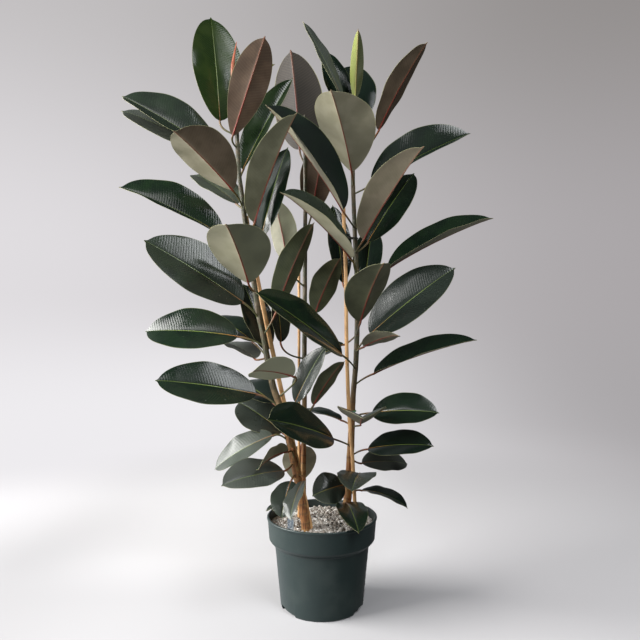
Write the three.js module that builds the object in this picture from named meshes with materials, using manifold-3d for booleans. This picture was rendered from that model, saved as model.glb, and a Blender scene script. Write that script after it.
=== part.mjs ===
// Potted rubber plant: three woody stems on support canes in a round nursery pot of pale granules.
// Millimetres, +Z up. The origin is the centre of the pot's underside, and -Y is the front.
import * as THREE from 'three';
import { mergeVertices } from 'three/addons/utils/BufferGeometryUtils.js';
import Module from 'manifold-3d';

const wasm = await Module();
wasm.setup();

// Driving dimensions.
const GAP = 0.3; // clearance between neighbouring pieces
const POT_HEIGHT = 218; // foot to the top of the rim
const RIM_RADIUS = 135;
const COLLAR_BOTTOM = 160; // height at which the collar steps in to the body
const BODY_TOP_RADIUS = 116;
const FOOT_RADIUS = 101;
const POT_WALL = 3.5;
const POT_FLOOR = 8;
const POT_SIDES = 36;
const FOOT_GROOVE = [[62, 0], [66, 5], [86, 5], [89, 0]]; // [radius, height] inside the foot ring
const FOOT_CHAMFER = [2, 3]; // across and up
const COLLAR_STEP = [[-0.5, -9], [2, -6], [9, -1], [13.5, 5]]; // [out from the body, up the collar]
const RIM_ROLL = [[2, 7], [0, 5], [0, 1.5], [1.5, 0], [4.5, 0], [6.5, 2]]; // [inwards, down]
const INNER_STEP = [[-0.5, -9], [9, 1], [13, 8]]; // the same as COLLAR_STEP, inside the wall
const INNER_CHAMFER = 2;
const DRAIN_NOTCHES = [215, 335, 95]; // degrees round the foot
const DRAIN_WIDTH = 58;
const DRAIN_HEIGHT = 11;
const DRAIN_REACH = 40; // how deep a notch cuts in and out of the foot ring
const CORE_INSET = [7, 9]; // how far inside the foot ring the floor stays whole, high up and low down
const CORE_HEIGHT = 60;
const FILL_HEIGHT = 203; // level of the granules
const GRAIN_RELIEF = 5; // height of the loose grains on top
const GRAIN_RINGS = 8;
const GRAIN_FADE = 12; // the relief dies out towards the middle, over this many times its height
const FILL_INSET = 8.5; // from the rim's outside to the edge of the granules

const STEM_SIDES = 7;
const CANE_ARC_STEPS = 4; // per half turn
const CANE_STEPS = 8; // along a bent cane
const TIE_SIDES = 16;
const PETIOLE_RADIUS = 2.6; // at the foot of the blade; the stalk thins towards the stem
const PETIOLE_STEPS = [0, 0.55]; // along the stalk, whose end is the foot of the blade
const PETIOLE_THIN_END = 0.65; // of its radius at the blade
const PETIOLE_STRAIGHT = 0.45; // of its length that runs in line with the blade
const PETIOLE_FLATTENING = 0.6; // of its height, at its sides
const ROOT_DEPTH = 2.5; // how far a stalk runs on past the middle of the stem
const HOLE_RADIUS = 3.5; // hole in the stem for the stalks of two leaves at one joint
const HOLE_SIDES = 4;
const BLADE_THICKNESS = 1.2;
const MIDRIB_DEPTH = 2.4; // how far the midrib stands out of the underside
const MIDRIB_THINNING = 0.75; // of its depth, from the stalk to the tip
const BLADE_BLUNTNESS = 0.54; // 1 is a lens shape, 0 a strip
const BLADE_END = 0.02; // half width of the ends, as a share of the widest
const BLADE_STEPS = [0, 0.1, 0.26, 0.5, 0.74, 0.92, 1]; // along the midrib
const BLADE_LANES = [-1, 0, 1]; // across the blade
const MARGIN_WAVE = 1.5;
const MARGIN_WAVES = 2; // along the blade
const FRONT_TWIST = 0.2; // the front lies a little to the right of -Y

// Stems: [x, y, z, radius] from the root in the granules to the growing tip.
const STEMS = {
  left: [
    [-36, -58, 100, 11], [-38, -58, 203, 11], [-52, -58, 292, 10], [-72, -56, 388, 9],
    [-99, -54, 488, 8], [-119, -53, 550, 7.5], [-136, -51, 640, 7], [-154, -50, 730, 6.7],
    [-171, -50, 850, 6.3], [-188, -50, 970, 5.8], [-199, -50, 1060, 5.2], [-205, -50, 1180, 4.6],
    [-211, -47, 1240, 3.6], [-214, -46, 1300, 4.2], [-205, -44, 1364, 0.8],
  ],
  middle: [
    [-47, 34, 110, 7], [-47, 34, 203, 7], [-47, 34, 306, 6.5], [-44, 33, 500, 6],
    [-44, 33, 650, 5.8], [-43, 33, 800, 5.5], [-42, 34, 1000, 5], [-43, 35, 1160, 4],
    [-44, 35, 1215, 1.2],
  ],
  right: [
    [63, 67, 95, 10.5], [64, 67, 203, 10.5], [71, 63, 318, 9.5], [75, 61, 400, 8.5],
    [79, 60, 492, 7], [87, 60, 594, 6.7], [90, 60, 700, 6.3], [89, 60, 800, 6],
    [84, 60, 920, 5.6], [79, 60, 1075, 5.2], [82, 60, 1200, 4.6], [83, 59, 1252, 3],
  ],
};

// Canes: radius and the points that the stick runs through.
const CANES = {
  left: { radius: 5.5, points: [[-4, -41, 70], [-183, -35, 948]] },
  middle: { radius: 3.5, points: [[-58, 38, 80], [-58, 38, 900]] },
  right: {
    radius: 4.8,
    points: [
      [84, 48, 75], [84, 48, 203], [79, 46, 318], [68, 42, 468],
      [62, 38, 640], [60, 36, 800], [53, 34, 1009],
    ],
  },
};

// Ties: loops of thin band that hold a stem to its cane at a height.
const TIES = [
  { name: 'tie_upper', stem: 'right', height: 905, colour: 0x3c3a36 },
  { name: 'tie_lower', stem: 'right', height: 464, colour: 0x4d8a5c },
];
const TIE_BAND = 1.6;
const TIE_HEIGHT = 4;

// Clear plastic label stake in the granules near the front left of the rim.
const STAKE = { width: 15, thickness: 1.2, bottom: 160, top: 231, x: -74, y: -72, turn: -12 };

// A leaf: blade base, blade tip, width, and three angles or heights. turn rolls the upper side
// towards the front, fold raises each half into a shallow V, arch lifts the middle of the blade.
// Its broadest place is a share of the length, from the stalk.
function leaf(base, tip, width, turn = 0, fold = 12, arch = 6, broadest = 0.5) {
  return { base, tip, width, turn, fold, arch, broadest };
}

// Leaves of each stem, from the top down: height of the joint and the one or two leaves there.
const LEAVES = {
  left: [
    [1185, leaf([-196, -42, 1215], [-118, -5, 1328], 42, 0, 42, 3)],
    [1140, leaf([-245, -40, 1176], [-279, 30, 1458], 130, 0, 14, 6)],
    [1108, leaf([-210, -75, 1130], [-127, -150, 1333], 90, -35, 12, 4, 0.58)],
    [1060, leaf([-262, -38, 1104], [-490, -10, 1246], 128, 44, 28, 8),
      leaf([-262, 5, 1112], [-506, 35, 1226], 98, 41, 5, 6)],
    [972, leaf([-192, -28, 1062], [-74, 22, 1303], 90, 35, 28, 6)],
    [958, leaf([-209, -75, 1003], [-316, -215, 1104], 136, -25, 28, 6, 0.54),
      leaf([-204, -35, 978], [-330, 70, 1072], 104, 15, 12, 6)],
    [892, leaf([-160, -75, 928], [-58, -150, 1163], 112, 8, 32, 6),
      leaf([-146, -45, 895], [-84, -25, 1118], 92, 40, 12, 6)],
    [872, leaf([-237, -60, 900], [-488, -40, 1019], 126, 38, 32, 10)],
    [762, leaf([-172, -78, 785], [-202, -235, 904], 150, -4, 18, 8, 0.53)],
    [698, leaf([-186, -70, 741], [-408, -110, 882], 138, 60, 14, 8)],
    [661, leaf([-110, -66, 717], [-20, -30, 934], 84, -64, 16, 8)],
    [634, leaf([-201, -50, 659], [-436, 0, 670], 122, 52, 12, 12)],
    [608, leaf([-168, -20, 645], [-288, 130, 706], 90, 10, 12, 6),
      leaf([-160, -45, 606], [-252, 95, 638], 86, 0, 12, 6)],
    [582, leaf([-136, -8, 622], [-200, 55, 790], 84, 10, 12, 6)],
    [512, leaf([-67, -105, 570], [-150, -220, 592], 92, -36, 12, 6)],
    [485, leaf([-156, -60, 523], [-388, -90, 559], 118, 50, 12, 8),
      leaf([-118, -28, 498], [-212, 112, 530], 86, 20, 12, 6)],
    [404, leaf([-95, -31, 426], [-212, 40, 490], 112, 32, 8, 8),
      leaf([-117, -66, 426], [-258, -46, 341], 92, 36, 8, 10)],
    [362, leaf([-90, -88, 348], [-220, -178, 338], 96, 28, 10, 8),
      leaf([-80, -92, 394], [-141, -172, 372], 76, -46, 12, 8)],
    [332, leaf([-73, -82, 322], [-92, -128, 250], 70, 0, 10, 6),
      leaf([-45, -95, 326], [-70, -175, 262], 58, -30, 10, 6)],
    [262, leaf([-78, -25, 250], [-138, -18, 234], 46, 10, 10, 3)],
  ],
  middle: [
    [1090, leaf([-56, 48, 1129], [-78, 20, 1371], 136, -20, 12, 6)],
    [915, leaf([-25, 50, 975], [10, 60, 1160], 92, -84, 12, 6)],
    [780, leaf([-86, 8, 841], [-122, 38, 1003], 80, -100, 14, 6)],
    [690, leaf([-18, 54, 716], [46, 60, 856], 82, -60, 12, 6)],
    [600, leaf([-101, 2, 643], [-116, 10, 752], 60, 20, 12, 6)],
    [442, leaf([-66, -6, 496], [8, -36, 634], 70, 68, 12, 6),
      leaf([-22, 18, 486], [54, -8, 598], 56, -34, 14, 6)],
    [385, leaf([-54, 60, 374], [-62, 132, 262], 92, 0, 12, 8)],
  ],
  right: [
    [1228, leaf([84, 56, 1262], [92, 52, 1438], 44, -70, 38, 3)],
    [1172, leaf([89, 92, 1204], [83, 190, 1399], 118, 0, 12, 6),
      leaf([50, 85, 1235], [13, 150, 1421], 84, 0, 12, 6)],
    [1140, leaf([51, 50, 1261], [-47, 20, 1443], 62, 50, 10, 4)],
    [1100, leaf([140, 20, 1171], [252, -40, 1366], 100, -2, 12, 6)],
    [1036, leaf([75, 28, 1069], [20, -145, 1215], 160, 8, 20, 8, 0.57)],
    [1018, leaf([128, 66, 1045], [372, 28, 1166], 138, 54, 36, 10)],
    [931, leaf([52, 5, 969], [-132, -66, 1208], 130, 62, 48, 8)],
    [868, leaf([102, 20, 898], [236, -85, 1105], 120, -7, 36, 6),
      leaf([118, 62, 898], [243, 115, 1086], 108, 38, 6, 6)],
    [800, leaf([72, 15, 852], [-91, -150, 987], 112, 47, 36, 8)],
    [770, leaf([112, 92, 787], [139, 200, 950], 82, 0, 12, 6),
      leaf([55, 98, 794], [29, 126, 1003], 68, 20, 12, 6)],
    [742, leaf([166, 30, 828], [424, 10, 952], 124, 22, 28, 8)],
    [660, leaf([94, -5, 694], [136, -172, 826], 116, 10, 22, 8),
      leaf([56, 78, 634], [-26, 92, 586], 60, 25, 12, 6)],
    [615, leaf([121, 32, 662], [330, 10, 828], 138, 54, 14, 8),
      leaf([104, 12, 632], [178, -105, 665], 60, -20, 10, 6)],
    [571, leaf([50, 0, 613], [-147, -150, 762], 126, 50, 12, 8)],
    [528, leaf([131, 42, 563], [384, 10, 650], 104, 20, 24, 8)],
    [448, leaf([125, 22, 466], [281, -40, 476], 100, 44, 12, 8)],
    [424, leaf([96, 15, 438], [90, -190, 487], 124, 0, 22, 10),
      leaf([50, 72, 440], [-70, 132, 455], 76, 0, 10, 6)],
    [374, leaf([28, 0, 406], [-119, -175, 482], 124, 50, 8, 8, 0.56)],
    [346, leaf([116, 36, 373], [271, -24, 393], 98, 30, 10, 8),
      leaf([103, 74, 328], [226, 110, 317], 80, 34, 10, 8)],
    [268, leaf([56, 44, 280], [-24, 14, 260], 86, 50, 8, 8),
      leaf([95, 32, 312], [70, -72, 297], 98, 0, 10, 8, 0.38)],
    [240, leaf([102, 62, 262], [215, 20, 229], 78, 0, 10, 10)],
    [222, leaf([60, 30, 238], [82, -152, 226], 74, 0, 12, 12)],
  ],
};

const finish = (color, roughness) => new THREE.MeshStandardMaterial({ color, roughness, metalness: 0 });
const POT_PLASTIC = finish(0x48545a, 0.5);
const GRANULES = finish(0xb9b0a2, 0.95);
const WOOD = finish(0x96683c, 0.8);
const CANE = finish(0xc8a06e, 0.65);
const LEAF = finish(0x24351f, 0.3);
const CLEAR_PLASTIC = finish(0x9fb4c0, 0.3);

const vector = ([x, y, z]) => new THREE.Vector3(x, y, z);

// Repeatable random numbers from 0 to 1.
function seeded(seed) {
  let state = seed;
  return () => {
    state = (state * 1664525 + 1013904223) % 4294967296;
    return state / 4294967296;
  };
}

// A closed mesh as a solid for joining and cutting, with its faces turned outwards.
function solidFrom(geometry) {
  const bare = geometry.clone();
  bare.deleteAttribute('normal');
  bare.deleteAttribute('uv');
  const merged = mergeVertices(bare, 1e-4);
  const triangles = Uint32Array.from(merged.index.array);
  if (signedVolume(merged.attributes.position, triangles) < 0) {
    triangles.reverse();
  }
  return new wasm.Manifold(new wasm.Mesh({
    numProp: 3,
    vertProperties: Float32Array.from(merged.attributes.position.array),
    triVerts: triangles,
  }));
}

function signedVolume(position, triangles) {
  const [a, b, c] = [new THREE.Vector3(), new THREE.Vector3(), new THREE.Vector3()];
  let volume = 0;
  for (let i = 0; i < triangles.length; i += 3) {
    a.fromBufferAttribute(position, triangles[i]);
    b.fromBufferAttribute(position, triangles[i + 1]);
    c.fromBufferAttribute(position, triangles[i + 2]);
    volume += a.dot(b.cross(c)) / 6;
  }
  return volume;
}

function geometryFrom(solid) {
  const mesh = solid.getMesh();
  return indexedGeometry(mesh.vertProperties, mesh.triVerts);
}

function indexedGeometry(positions, triangles) {
  const geometry = new THREE.BufferGeometry();
  geometry.setAttribute('position', new THREE.BufferAttribute(Float32Array.from(positions), 3));
  geometry.setIndex(Array.from(triangles));
  return geometry;
}

// A ring of points round a centre, counter-clockwise about the direction.
function ring(centre, direction, helper, radius, sides) {
  const across = new THREE.Vector3().crossVectors(helper, direction).normalize();
  const along = new THREE.Vector3().crossVectors(direction, across).normalize();
  return Array.from({ length: sides }, (_, k) => {
    const angle = (k / sides) * Math.PI * 2;
    return centre.clone()
      .addScaledVector(across, radius * Math.cos(angle))
      .addScaledVector(along, radius * Math.sin(angle));
  });
}

// A closed tube through rings that have the same number of points.
function tubeThrough(rings) {
  const sides = rings[0].length;
  const last = (rings.length - 1) * sides;
  const triangles = [];
  for (let i = 0; i < rings.length - 1; i += 1) {
    for (let k = 0; k < sides; k += 1) {
      const [a, b] = [i * sides + k, i * sides + ((k + 1) % sides)];
      triangles.push(a, b, b + sides, a, b + sides, a + sides);
    }
  }
  for (let k = 1; k < sides - 1; k += 1) {
    triangles.push(0, k + 1, k, last, last + k, last + k + 1);
  }
  return indexedGeometry(rings.flat().flatMap((point) => point.toArray()), triangles);
}

// Stem: a round tube that thins from the root to the tip. grow widens it for the holes it stands in.
function stemGeometry(points, grow = 0) {
  const curve = new THREE.CatmullRomCurve3(points.map(vector), false, 'centripetal');
  const helper = new THREE.Vector3(0, 1, 0);
  const rings = points.map((point, i) => {
    const direction = curve.getTangent(i / (points.length - 1));
    const centre = vector(point);
    if (i === 0) {
      centre.z -= grow;
    }
    return ring(centre, direction, helper, point[3] + grow, STEM_SIDES);
  });
  return tubeThrough(rings);
}

// Point on a stem's centre line at a height, with the stem's radius there.
function stemAt(points, height) {
  const upper = points.findIndex((point) => point[2] > height);
  const [below, above] = [points[upper - 1], points[upper]];
  const share = (height - below[2]) / (above[2] - below[2]);
  const [x, y, z, radius] = below.map((value, k) => THREE.MathUtils.lerp(value, above[k], share));
  return { centre: new THREE.Vector3(x, y, z), radius };
}

// Cane: a stick of one diameter.
function caneGeometry({ radius, points }, grow = 0) {
  const path = points.map(vector);
  path[0].z -= grow;
  const curve = path.length > 2
    ? new THREE.CatmullRomCurve3(path, false, 'centripetal')
    : new THREE.LineCurve3(...path);
  const section = new THREE.Shape().absarc(0, 0, radius + grow, 0, Math.PI * 2);
  return new THREE.ExtrudeGeometry(section, {
    extrudePath: curve,
    steps: path.length > 2 ? CANE_STEPS : 1,
    curveSegments: CANE_ARC_STEPS,
    bevelEnabled: false,
  });
}

function caneAt({ radius, points }, height) {
  return { ...stemAt(points.map((point) => [...point, radius]), height), radius };
}

// Tie: a band that runs round the stem and the cane together.
function tieGeometry({ stem, height }) {
  const sticks = [stemAt(STEMS[stem], height), caneAt(CANES[stem], height)];
  const outline = (offset) => Array.from({ length: TIE_SIDES }, (_, k) => {
    const angle = (k / TIE_SIDES) * Math.PI * 2;
    const direction = new THREE.Vector3(Math.cos(angle), Math.sin(angle), 0);
    const reach = sticks.map((stick) => stick.centre.dot(direction) + stick.radius);
    const outer = sticks[reach[0] > reach[1] ? 0 : 1];
    const point = outer.centre.clone().addScaledVector(direction, outer.radius + offset);
    return new THREE.Vector2(point.x, point.y);
  });
  const band = new THREE.Shape(outline(3 * GAP + TIE_BAND));
  band.holes.push(new THREE.Path(outline(3 * GAP)));
  return new THREE.ExtrudeGeometry(band, { depth: TIE_HEIGHT, bevelEnabled: false })
    .translate(0, 0, height);
}

// The leaf's own directions: along the blade, out of its upper side, and across it.
function leafAxes({ base, tip, turn }) {
  const along = vector(tip).sub(vector(base)).normalize();
  const up = new THREE.Vector3(0, 0, 1);
  const upper = up.clone().addScaledVector(along, -up.dot(along)).normalize();
  const side = new THREE.Vector3().crossVectors(along, upper);
  const towardsFront = side.y - FRONT_TWIST * side.x > 0 ? -1 : 1;
  upper.applyAxisAngle(along, towardsFront * THREE.MathUtils.degToRad(turn));
  return { along, upper, across: new THREE.Vector3().crossVectors(along, upper) };
}

// Half width of the blade at a share of its length, as a share of the widest half width.
function bladeOutline(share, broadest) {
  const moved = share ** (Math.log(0.5) / Math.log(broadest));
  return Math.max(BLADE_END, Math.sin(Math.PI * moved) ** BLADE_BLUNTNESS);
}

// Section of the blade: points across the upper face, and under them those of the lower face,
// which stands out along the midrib.
function bladeSection(spec, axes, share) {
  const length = vector(spec.tip).distanceTo(vector(spec.base));
  const fold = THREE.MathUtils.degToRad(spec.fold);
  const outline = bladeOutline(share, spec.broadest);
  const top = BLADE_LANES.map((lane) => {
    const half = (spec.width / 2) * outline * Math.abs(lane);
    const turns = Math.sin(share * MARGIN_WAVES * 2 * Math.PI + lane);
    const wave = MARGIN_WAVE * lane * lane * turns * outline;
    return vector(spec.base)
      .addScaledVector(axes.along, length * share)
      .addScaledVector(axes.across, Math.sign(lane) * half * Math.cos(fold))
      .addScaledVector(axes.upper, spec.arch * 4 * share * (1 - share) + half * Math.sin(fold) + wave);
  });
  const bottom = top.map((point, k) => {
    const midrib = BLADE_LANES[k] === 0 ? MIDRIB_DEPTH * (1 - MIDRIB_THINNING * share) : 0;
    return point.clone().addScaledVector(axes.upper, -BLADE_THICKNESS - midrib);
  });
  return [...top, ...bottom];
}

// The stalk's line: from the middle of the stem to the blade, bending into the line of the blade.
// It starts a little past the middle, where two stalks at one joint grow into each other.
function petioleCurve(spec, axes, root) {
  const end = vector(spec.base).addScaledVector(axes.upper, -PETIOLE_RADIUS);
  const reach = root.distanceTo(end);
  const start = root.clone().lerp(end, -ROOT_DEPTH / reach);
  const bend = end.clone().addScaledVector(axes.along, -PETIOLE_STRAIGHT * reach);
  return new THREE.QuadraticBezierCurve3(start, bend, end);
}

// Section of the stalk: nearly round, with the same points as a section of the blade.
function petioleSection(curve, axes, share) {
  const radius = PETIOLE_RADIUS * THREE.MathUtils.lerp(PETIOLE_THIN_END, 1, share);
  const tangent = curve.getTangent(share);
  const upper = new THREE.Vector3().crossVectors(axes.across, tangent).normalize();
  const across = new THREE.Vector3().crossVectors(tangent, upper);
  const side = (sign) => BLADE_LANES.map((lane) => curve.getPoint(share)
    .addScaledVector(across, radius * lane)
    .addScaledVector(upper, sign * radius * (1 - PETIOLE_FLATTENING * Math.abs(lane))));
  return [...side(1), ...side(-1)];
}

// Leaf: stalk and blade as one skin, whose upper and lower faces have the same triangles.
function leafSolid(spec, root) {
  const axes = leafAxes(spec);
  const curve = petioleCurve(spec, axes, root);
  const sections = [
    ...PETIOLE_STEPS.map((share) => petioleSection(curve, axes, share)),
    ...BLADE_STEPS.map((share) => bladeSection(spec, axes, share)),
  ];
  const lanes = BLADE_LANES.length;
  const edge = lanes - 1;
  const size = 2 * lanes;
  const triangles = [];
  const quad = (a, b, c, d) => triangles.push(a, b, c, a, c, d);
  for (let i = 0; i < sections.length - 1; i += 1) {
    const [top, nextTop] = [i * size, (i + 1) * size];
    const [low, nextLow] = [top + lanes, nextTop + lanes];
    for (let j = 0; j < edge; j += 1) {
      quad(top + j, top + j + 1, nextTop + j + 1, nextTop + j);
      triangles.push(low + j, nextLow + j + 1, low + j + 1);
      triangles.push(low + j, nextLow + j, nextLow + j + 1);
    }
    quad(low + edge, nextLow + edge, nextTop + edge, top + edge);
    quad(low, top, nextTop, nextLow);
  }
  const end = (sections.length - 1) * size;
  for (let j = 0; j < edge; j += 1) {
    quad(lanes + j, lanes + j + 1, j + 1, j);
    quad(end + lanes + j, end + j, end + j + 1, end + lanes + j + 1);
  }
  return solidFrom(indexedGeometry(sections.flat().flatMap((point) => point.toArray()), triangles));
}

// The hole that a stalk of two at one joint has in the stem.
function petioleHole(spec, root) {
  const axes = leafAxes(spec);
  const curve = petioleCurve(spec, axes, root);
  const [inner, outer] = PETIOLE_STEPS.map((share) => curve.getPoint(share));
  const direction = outer.clone().sub(inner).normalize();
  inner.addScaledVector(direction, -2 * GAP);
  const rings = [inner, outer].map((centre) => (
    ring(centre, direction, axes.across, HOLE_RADIUS, HOLE_SIDES)
  ));
  return solidFrom(tubeThrough(rings));
}

// Pot: a stepped wall with a rolled rim and a foot ring, turned from one outline.
function potSolid() {
  const profile = [
    [0, 0],
    ...FOOT_GROOVE,
    [FOOT_RADIUS - FOOT_CHAMFER[0], 0],
    [FOOT_RADIUS, FOOT_CHAMFER[1]],
    ...COLLAR_STEP.map(([out, up]) => [BODY_TOP_RADIUS + out, COLLAR_BOTTOM + up]),
    ...RIM_ROLL.map(([inwards, down]) => [RIM_RADIUS - inwards, POT_HEIGHT - down]),
    ...innerWall(0).reverse(),
  ];
  const turned = new THREE.LatheGeometry(profile.map(([x, y]) => new THREE.Vector2(x, y)), POT_SIDES);
  let pot = solidFrom(turned.rotateX(Math.PI / 2));
  for (const degrees of DRAIN_NOTCHES) {
    const notch = new THREE.BoxGeometry(DRAIN_REACH, DRAIN_WIDTH, 2 * DRAIN_HEIGHT);
    notch.translate(FOOT_RADIUS, 0, 0).rotateZ(THREE.MathUtils.degToRad(degrees));
    pot = pot.subtract(solidFrom(notch).subtract(potFloorCore()));
  }
  return pot;
}

// What the drain notches leave standing: the pot's floor and the mix above it.
function potFloorCore() {
  const [high, low] = CORE_INSET.map((inset) => FOOT_RADIUS - inset);
  const core = new THREE.CylinderGeometry(high, low, CORE_HEIGHT, POT_SIDES);
  return solidFrom(core.rotateX(Math.PI / 2).translate(0, 0, CORE_HEIGHT / 2 + FOOT_GROOVE[1][1]));
}

// Outline of the inside of the pot, from the middle of the floor to the rim, drawn in by a gap.
function innerWall(gap) {
  const inside = POT_WALL + gap;
  return [
    [0, POT_FLOOR + gap],
    [FOOT_RADIUS - inside - INNER_CHAMFER, POT_FLOOR + gap],
    [FOOT_RADIUS - inside, POT_FLOOR + INNER_CHAMFER + gap],
    ...INNER_STEP.map(([out, up]) => [BODY_TOP_RADIUS - inside + out, COLLAR_BOTTOM + up + gap]),
  ];
}

// Granule mix: fills the pot, with a loose grainy top and a plain hole for each stem and cane.
function substrateSolid() {
  const edge = RIM_RADIUS - FILL_INSET;
  const top = Array.from({ length: GRAIN_RINGS }, (_, k) => [edge * (1 - k / GRAIN_RINGS), FILL_HEIGHT]);
  const profile = [...innerWall(GAP), [edge, FILL_HEIGHT - GRAIN_RELIEF], ...top, [0, FILL_HEIGHT]];
  const turned = new THREE.LatheGeometry(profile.map(([x, y]) => new THREE.Vector2(x, y)), POT_SIDES);
  turned.deleteAttribute('normal');
  turned.deleteAttribute('uv');
  const geometry = mergeVertices(turned.rotateX(Math.PI / 2), 1e-3);
  const position = geometry.attributes.position;
  const draw = seeded(11);
  for (let i = 0; i < position.count; i += 1) {
    const radius = Math.hypot(position.getX(i), position.getY(i));
    if (position.getZ(i) > FILL_HEIGHT - 1) {
      const relief = Math.min(GRAIN_RELIEF, radius / GRAIN_FADE);
      position.setZ(i, FILL_HEIGHT + (draw() - 0.5) * relief);
    }
  }
  let substrate = solidFrom(geometry);
  for (const name of Object.keys(STEMS)) {
    substrate = substrate.subtract(solidFrom(stemGeometry(STEMS[name], GAP)));
    substrate = substrate.subtract(solidFrom(caneGeometry(CANES[name], GAP)));
  }
  return substrate.subtract(solidFrom(stakeGeometry(GAP)));
}

function stakeGeometry(grow = 0) {
  const height = STAKE.top - STAKE.bottom;
  return new THREE.BoxGeometry(STAKE.width + 2 * grow, STAKE.thickness + 2 * grow, height + 2 * grow)
    .rotateZ(THREE.MathUtils.degToRad(STAKE.turn))
    .translate(STAKE.x, STAKE.y, STAKE.bottom + height / 2);
}

const plant = new THREE.Group();

function addPiece(name, geometry, material) {
  const mesh = new THREE.Mesh(geometry, material);
  mesh.name = name;
  plant.add(mesh);
}

addPiece('pot', geometryFrom(potSolid()), POT_PLASTIC);
addPiece('substrate', geometryFrom(substrateSolid()), GRANULES);
addPiece('label_stake', stakeGeometry(), CLEAR_PLASTIC);
for (const tie of TIES) {
  addPiece(tie.name, tieGeometry(tie), finish(tie.colour, 0.6));
}
for (const [name, cane] of Object.entries(CANES)) {
  addPiece(`cane_${name}`, caneGeometry(cane), CANE);
}

// Each stem with its leaves. A single leaf ends 0.3 mm outside the stem. Two leaves at one joint
// share a root, which sits in a hole through the stem.
for (const [name, joints] of Object.entries(LEAVES)) {
  const points = STEMS[name];
  let stem = solidFrom(stemGeometry(points));
  const clearance = solidFrom(stemGeometry(points, GAP));
  joints.forEach(([height, ...specs], index) => {
    const number = String(index + 1).padStart(2, '0');
    const root = stemAt(points, height).centre;
    const blades = specs.map((spec) => leafSolid(spec, root));
    if (specs.length === 1) {
      addPiece(`leaf_${name}_${number}`, geometryFrom(blades[0].subtract(clearance)), LEAF);
      return;
    }
    addPiece(`leaf_pair_${name}_${number}`, geometryFrom(blades[0].add(blades[1])), LEAF);
    for (const spec of specs) {
      stem = stem.subtract(petioleHole(spec, root));
    }
  });
  addPiece(`stem_${name}`, geometryFrom(stem), WOOD);
}

export default plant;
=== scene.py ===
import math
from collections import namedtuple

import bpy
import numpy as np
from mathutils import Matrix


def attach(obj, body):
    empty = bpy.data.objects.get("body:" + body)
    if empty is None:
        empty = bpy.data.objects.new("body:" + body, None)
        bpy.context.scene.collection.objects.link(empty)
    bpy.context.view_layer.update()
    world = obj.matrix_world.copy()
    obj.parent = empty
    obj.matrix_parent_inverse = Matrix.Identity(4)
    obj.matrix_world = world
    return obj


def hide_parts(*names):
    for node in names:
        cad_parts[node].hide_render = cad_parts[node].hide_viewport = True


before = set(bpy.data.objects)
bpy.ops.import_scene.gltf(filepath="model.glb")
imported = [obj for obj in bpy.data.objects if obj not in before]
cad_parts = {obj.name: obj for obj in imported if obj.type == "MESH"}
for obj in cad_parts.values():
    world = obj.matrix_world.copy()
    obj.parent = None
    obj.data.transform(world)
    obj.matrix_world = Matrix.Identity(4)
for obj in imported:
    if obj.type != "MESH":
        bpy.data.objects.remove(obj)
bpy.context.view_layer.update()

scene = bpy.context.scene
scene.view_settings.view_transform = "Standard"


# CAMERA
# It stands about a metre and a half in front of the pot, level with the middle of the plant,
# and its frame sits a little low, which keeps the upright lines upright.
CAMERA_PLACE = (0.0, -1.580, 0.717)
FILM_WIDTH, LENS_LENGTH = 36.0, 36.06
PICTURE_PIXELS = 640
SHIFT_ACROSS_PIXELS, SHIFT_UP_PIXELS = -2, -8

lens = bpy.data.cameras.new("camera")
lens.sensor_width, lens.lens = FILM_WIDTH, LENS_LENGTH
lens.shift_x = SHIFT_ACROSS_PIXELS / PICTURE_PIXELS
lens.shift_y = SHIFT_UP_PIXELS / PICTURE_PIXELS
camera = bpy.data.objects.new("camera", lens)
camera.location = CAMERA_PLACE
camera.rotation_euler = (math.radians(90), 0, 0)
scene.collection.objects.link(camera)
scene.camera = camera


# POT
# A nursery pot of dark blue-green polypropylene, injection moulded in one shot: a rolled rim
# over a stepped collar, a tapered body, and a foot ring with three drain notches.
# The outline gives radius and height, from under the floor, up the outside and down the inside.
POT_OUTLINE = [
    (0.062, 0.000),
    (0.066, 0.005),
    (0.086, 0.005),
    (0.089, 0.000),
    (0.093, 0.000),
    (0.099, 0.000),
    (0.101, 0.003),
    (0.1018, 0.011),
    (0.1155, 0.151),
    (0.118, 0.154),
    (0.125, 0.159),
    (0.1295, 0.165),
    (0.133, 0.211),
    (0.135, 0.213),
    (0.135, 0.2165),
    (0.1335, 0.218),
    (0.1305, 0.218),
    (0.1285, 0.216),
    (0.1255, 0.168),
    (0.1215, 0.161),
    (0.112, 0.151),
    (0.0975, 0.010),
    (0.0955, 0.008),
    (0.020, 0.008),
]
POT_COLUMNS = 160
NOTCH_MIDDLES = (95, 215, 335)
NOTCH_HALF_WIDTH = 0.029
NOTCH_SIDE_TURN = 0.06
FOOT_RADIUS = 0.101
# Where these points of the outline go, by their number, in a notch.
NOTCH_POINTS = {4: (0.0940, 0.0000), 5: (0.0942, 0.0100), 6: (0.0952, 0.0110)}


def softened(outline, reach=0.0012, most=0.45, steps=3):
    """The outline with each corner rounded off, over at most a share of the lines beside it."""
    made = [outline[0]]
    for before, corner, after in zip(outline, outline[1:], outline[2:]):
        before, corner, after = map(np.array, (before, corner, after))
        back, on = before - corner, after - corner
        start = corner + back * min(most, reach / np.linalg.norm(back))
        end = corner + on * min(most, reach / np.linalg.norm(on))
        for step in range(steps + 1):
            share = step / steps
            point = start * (1 - share) ** 2 + corner * 2 * share * (1 - share) + end * share**2
            made.append(tuple(point))
    made.append(outline[-1])
    return made


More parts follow.
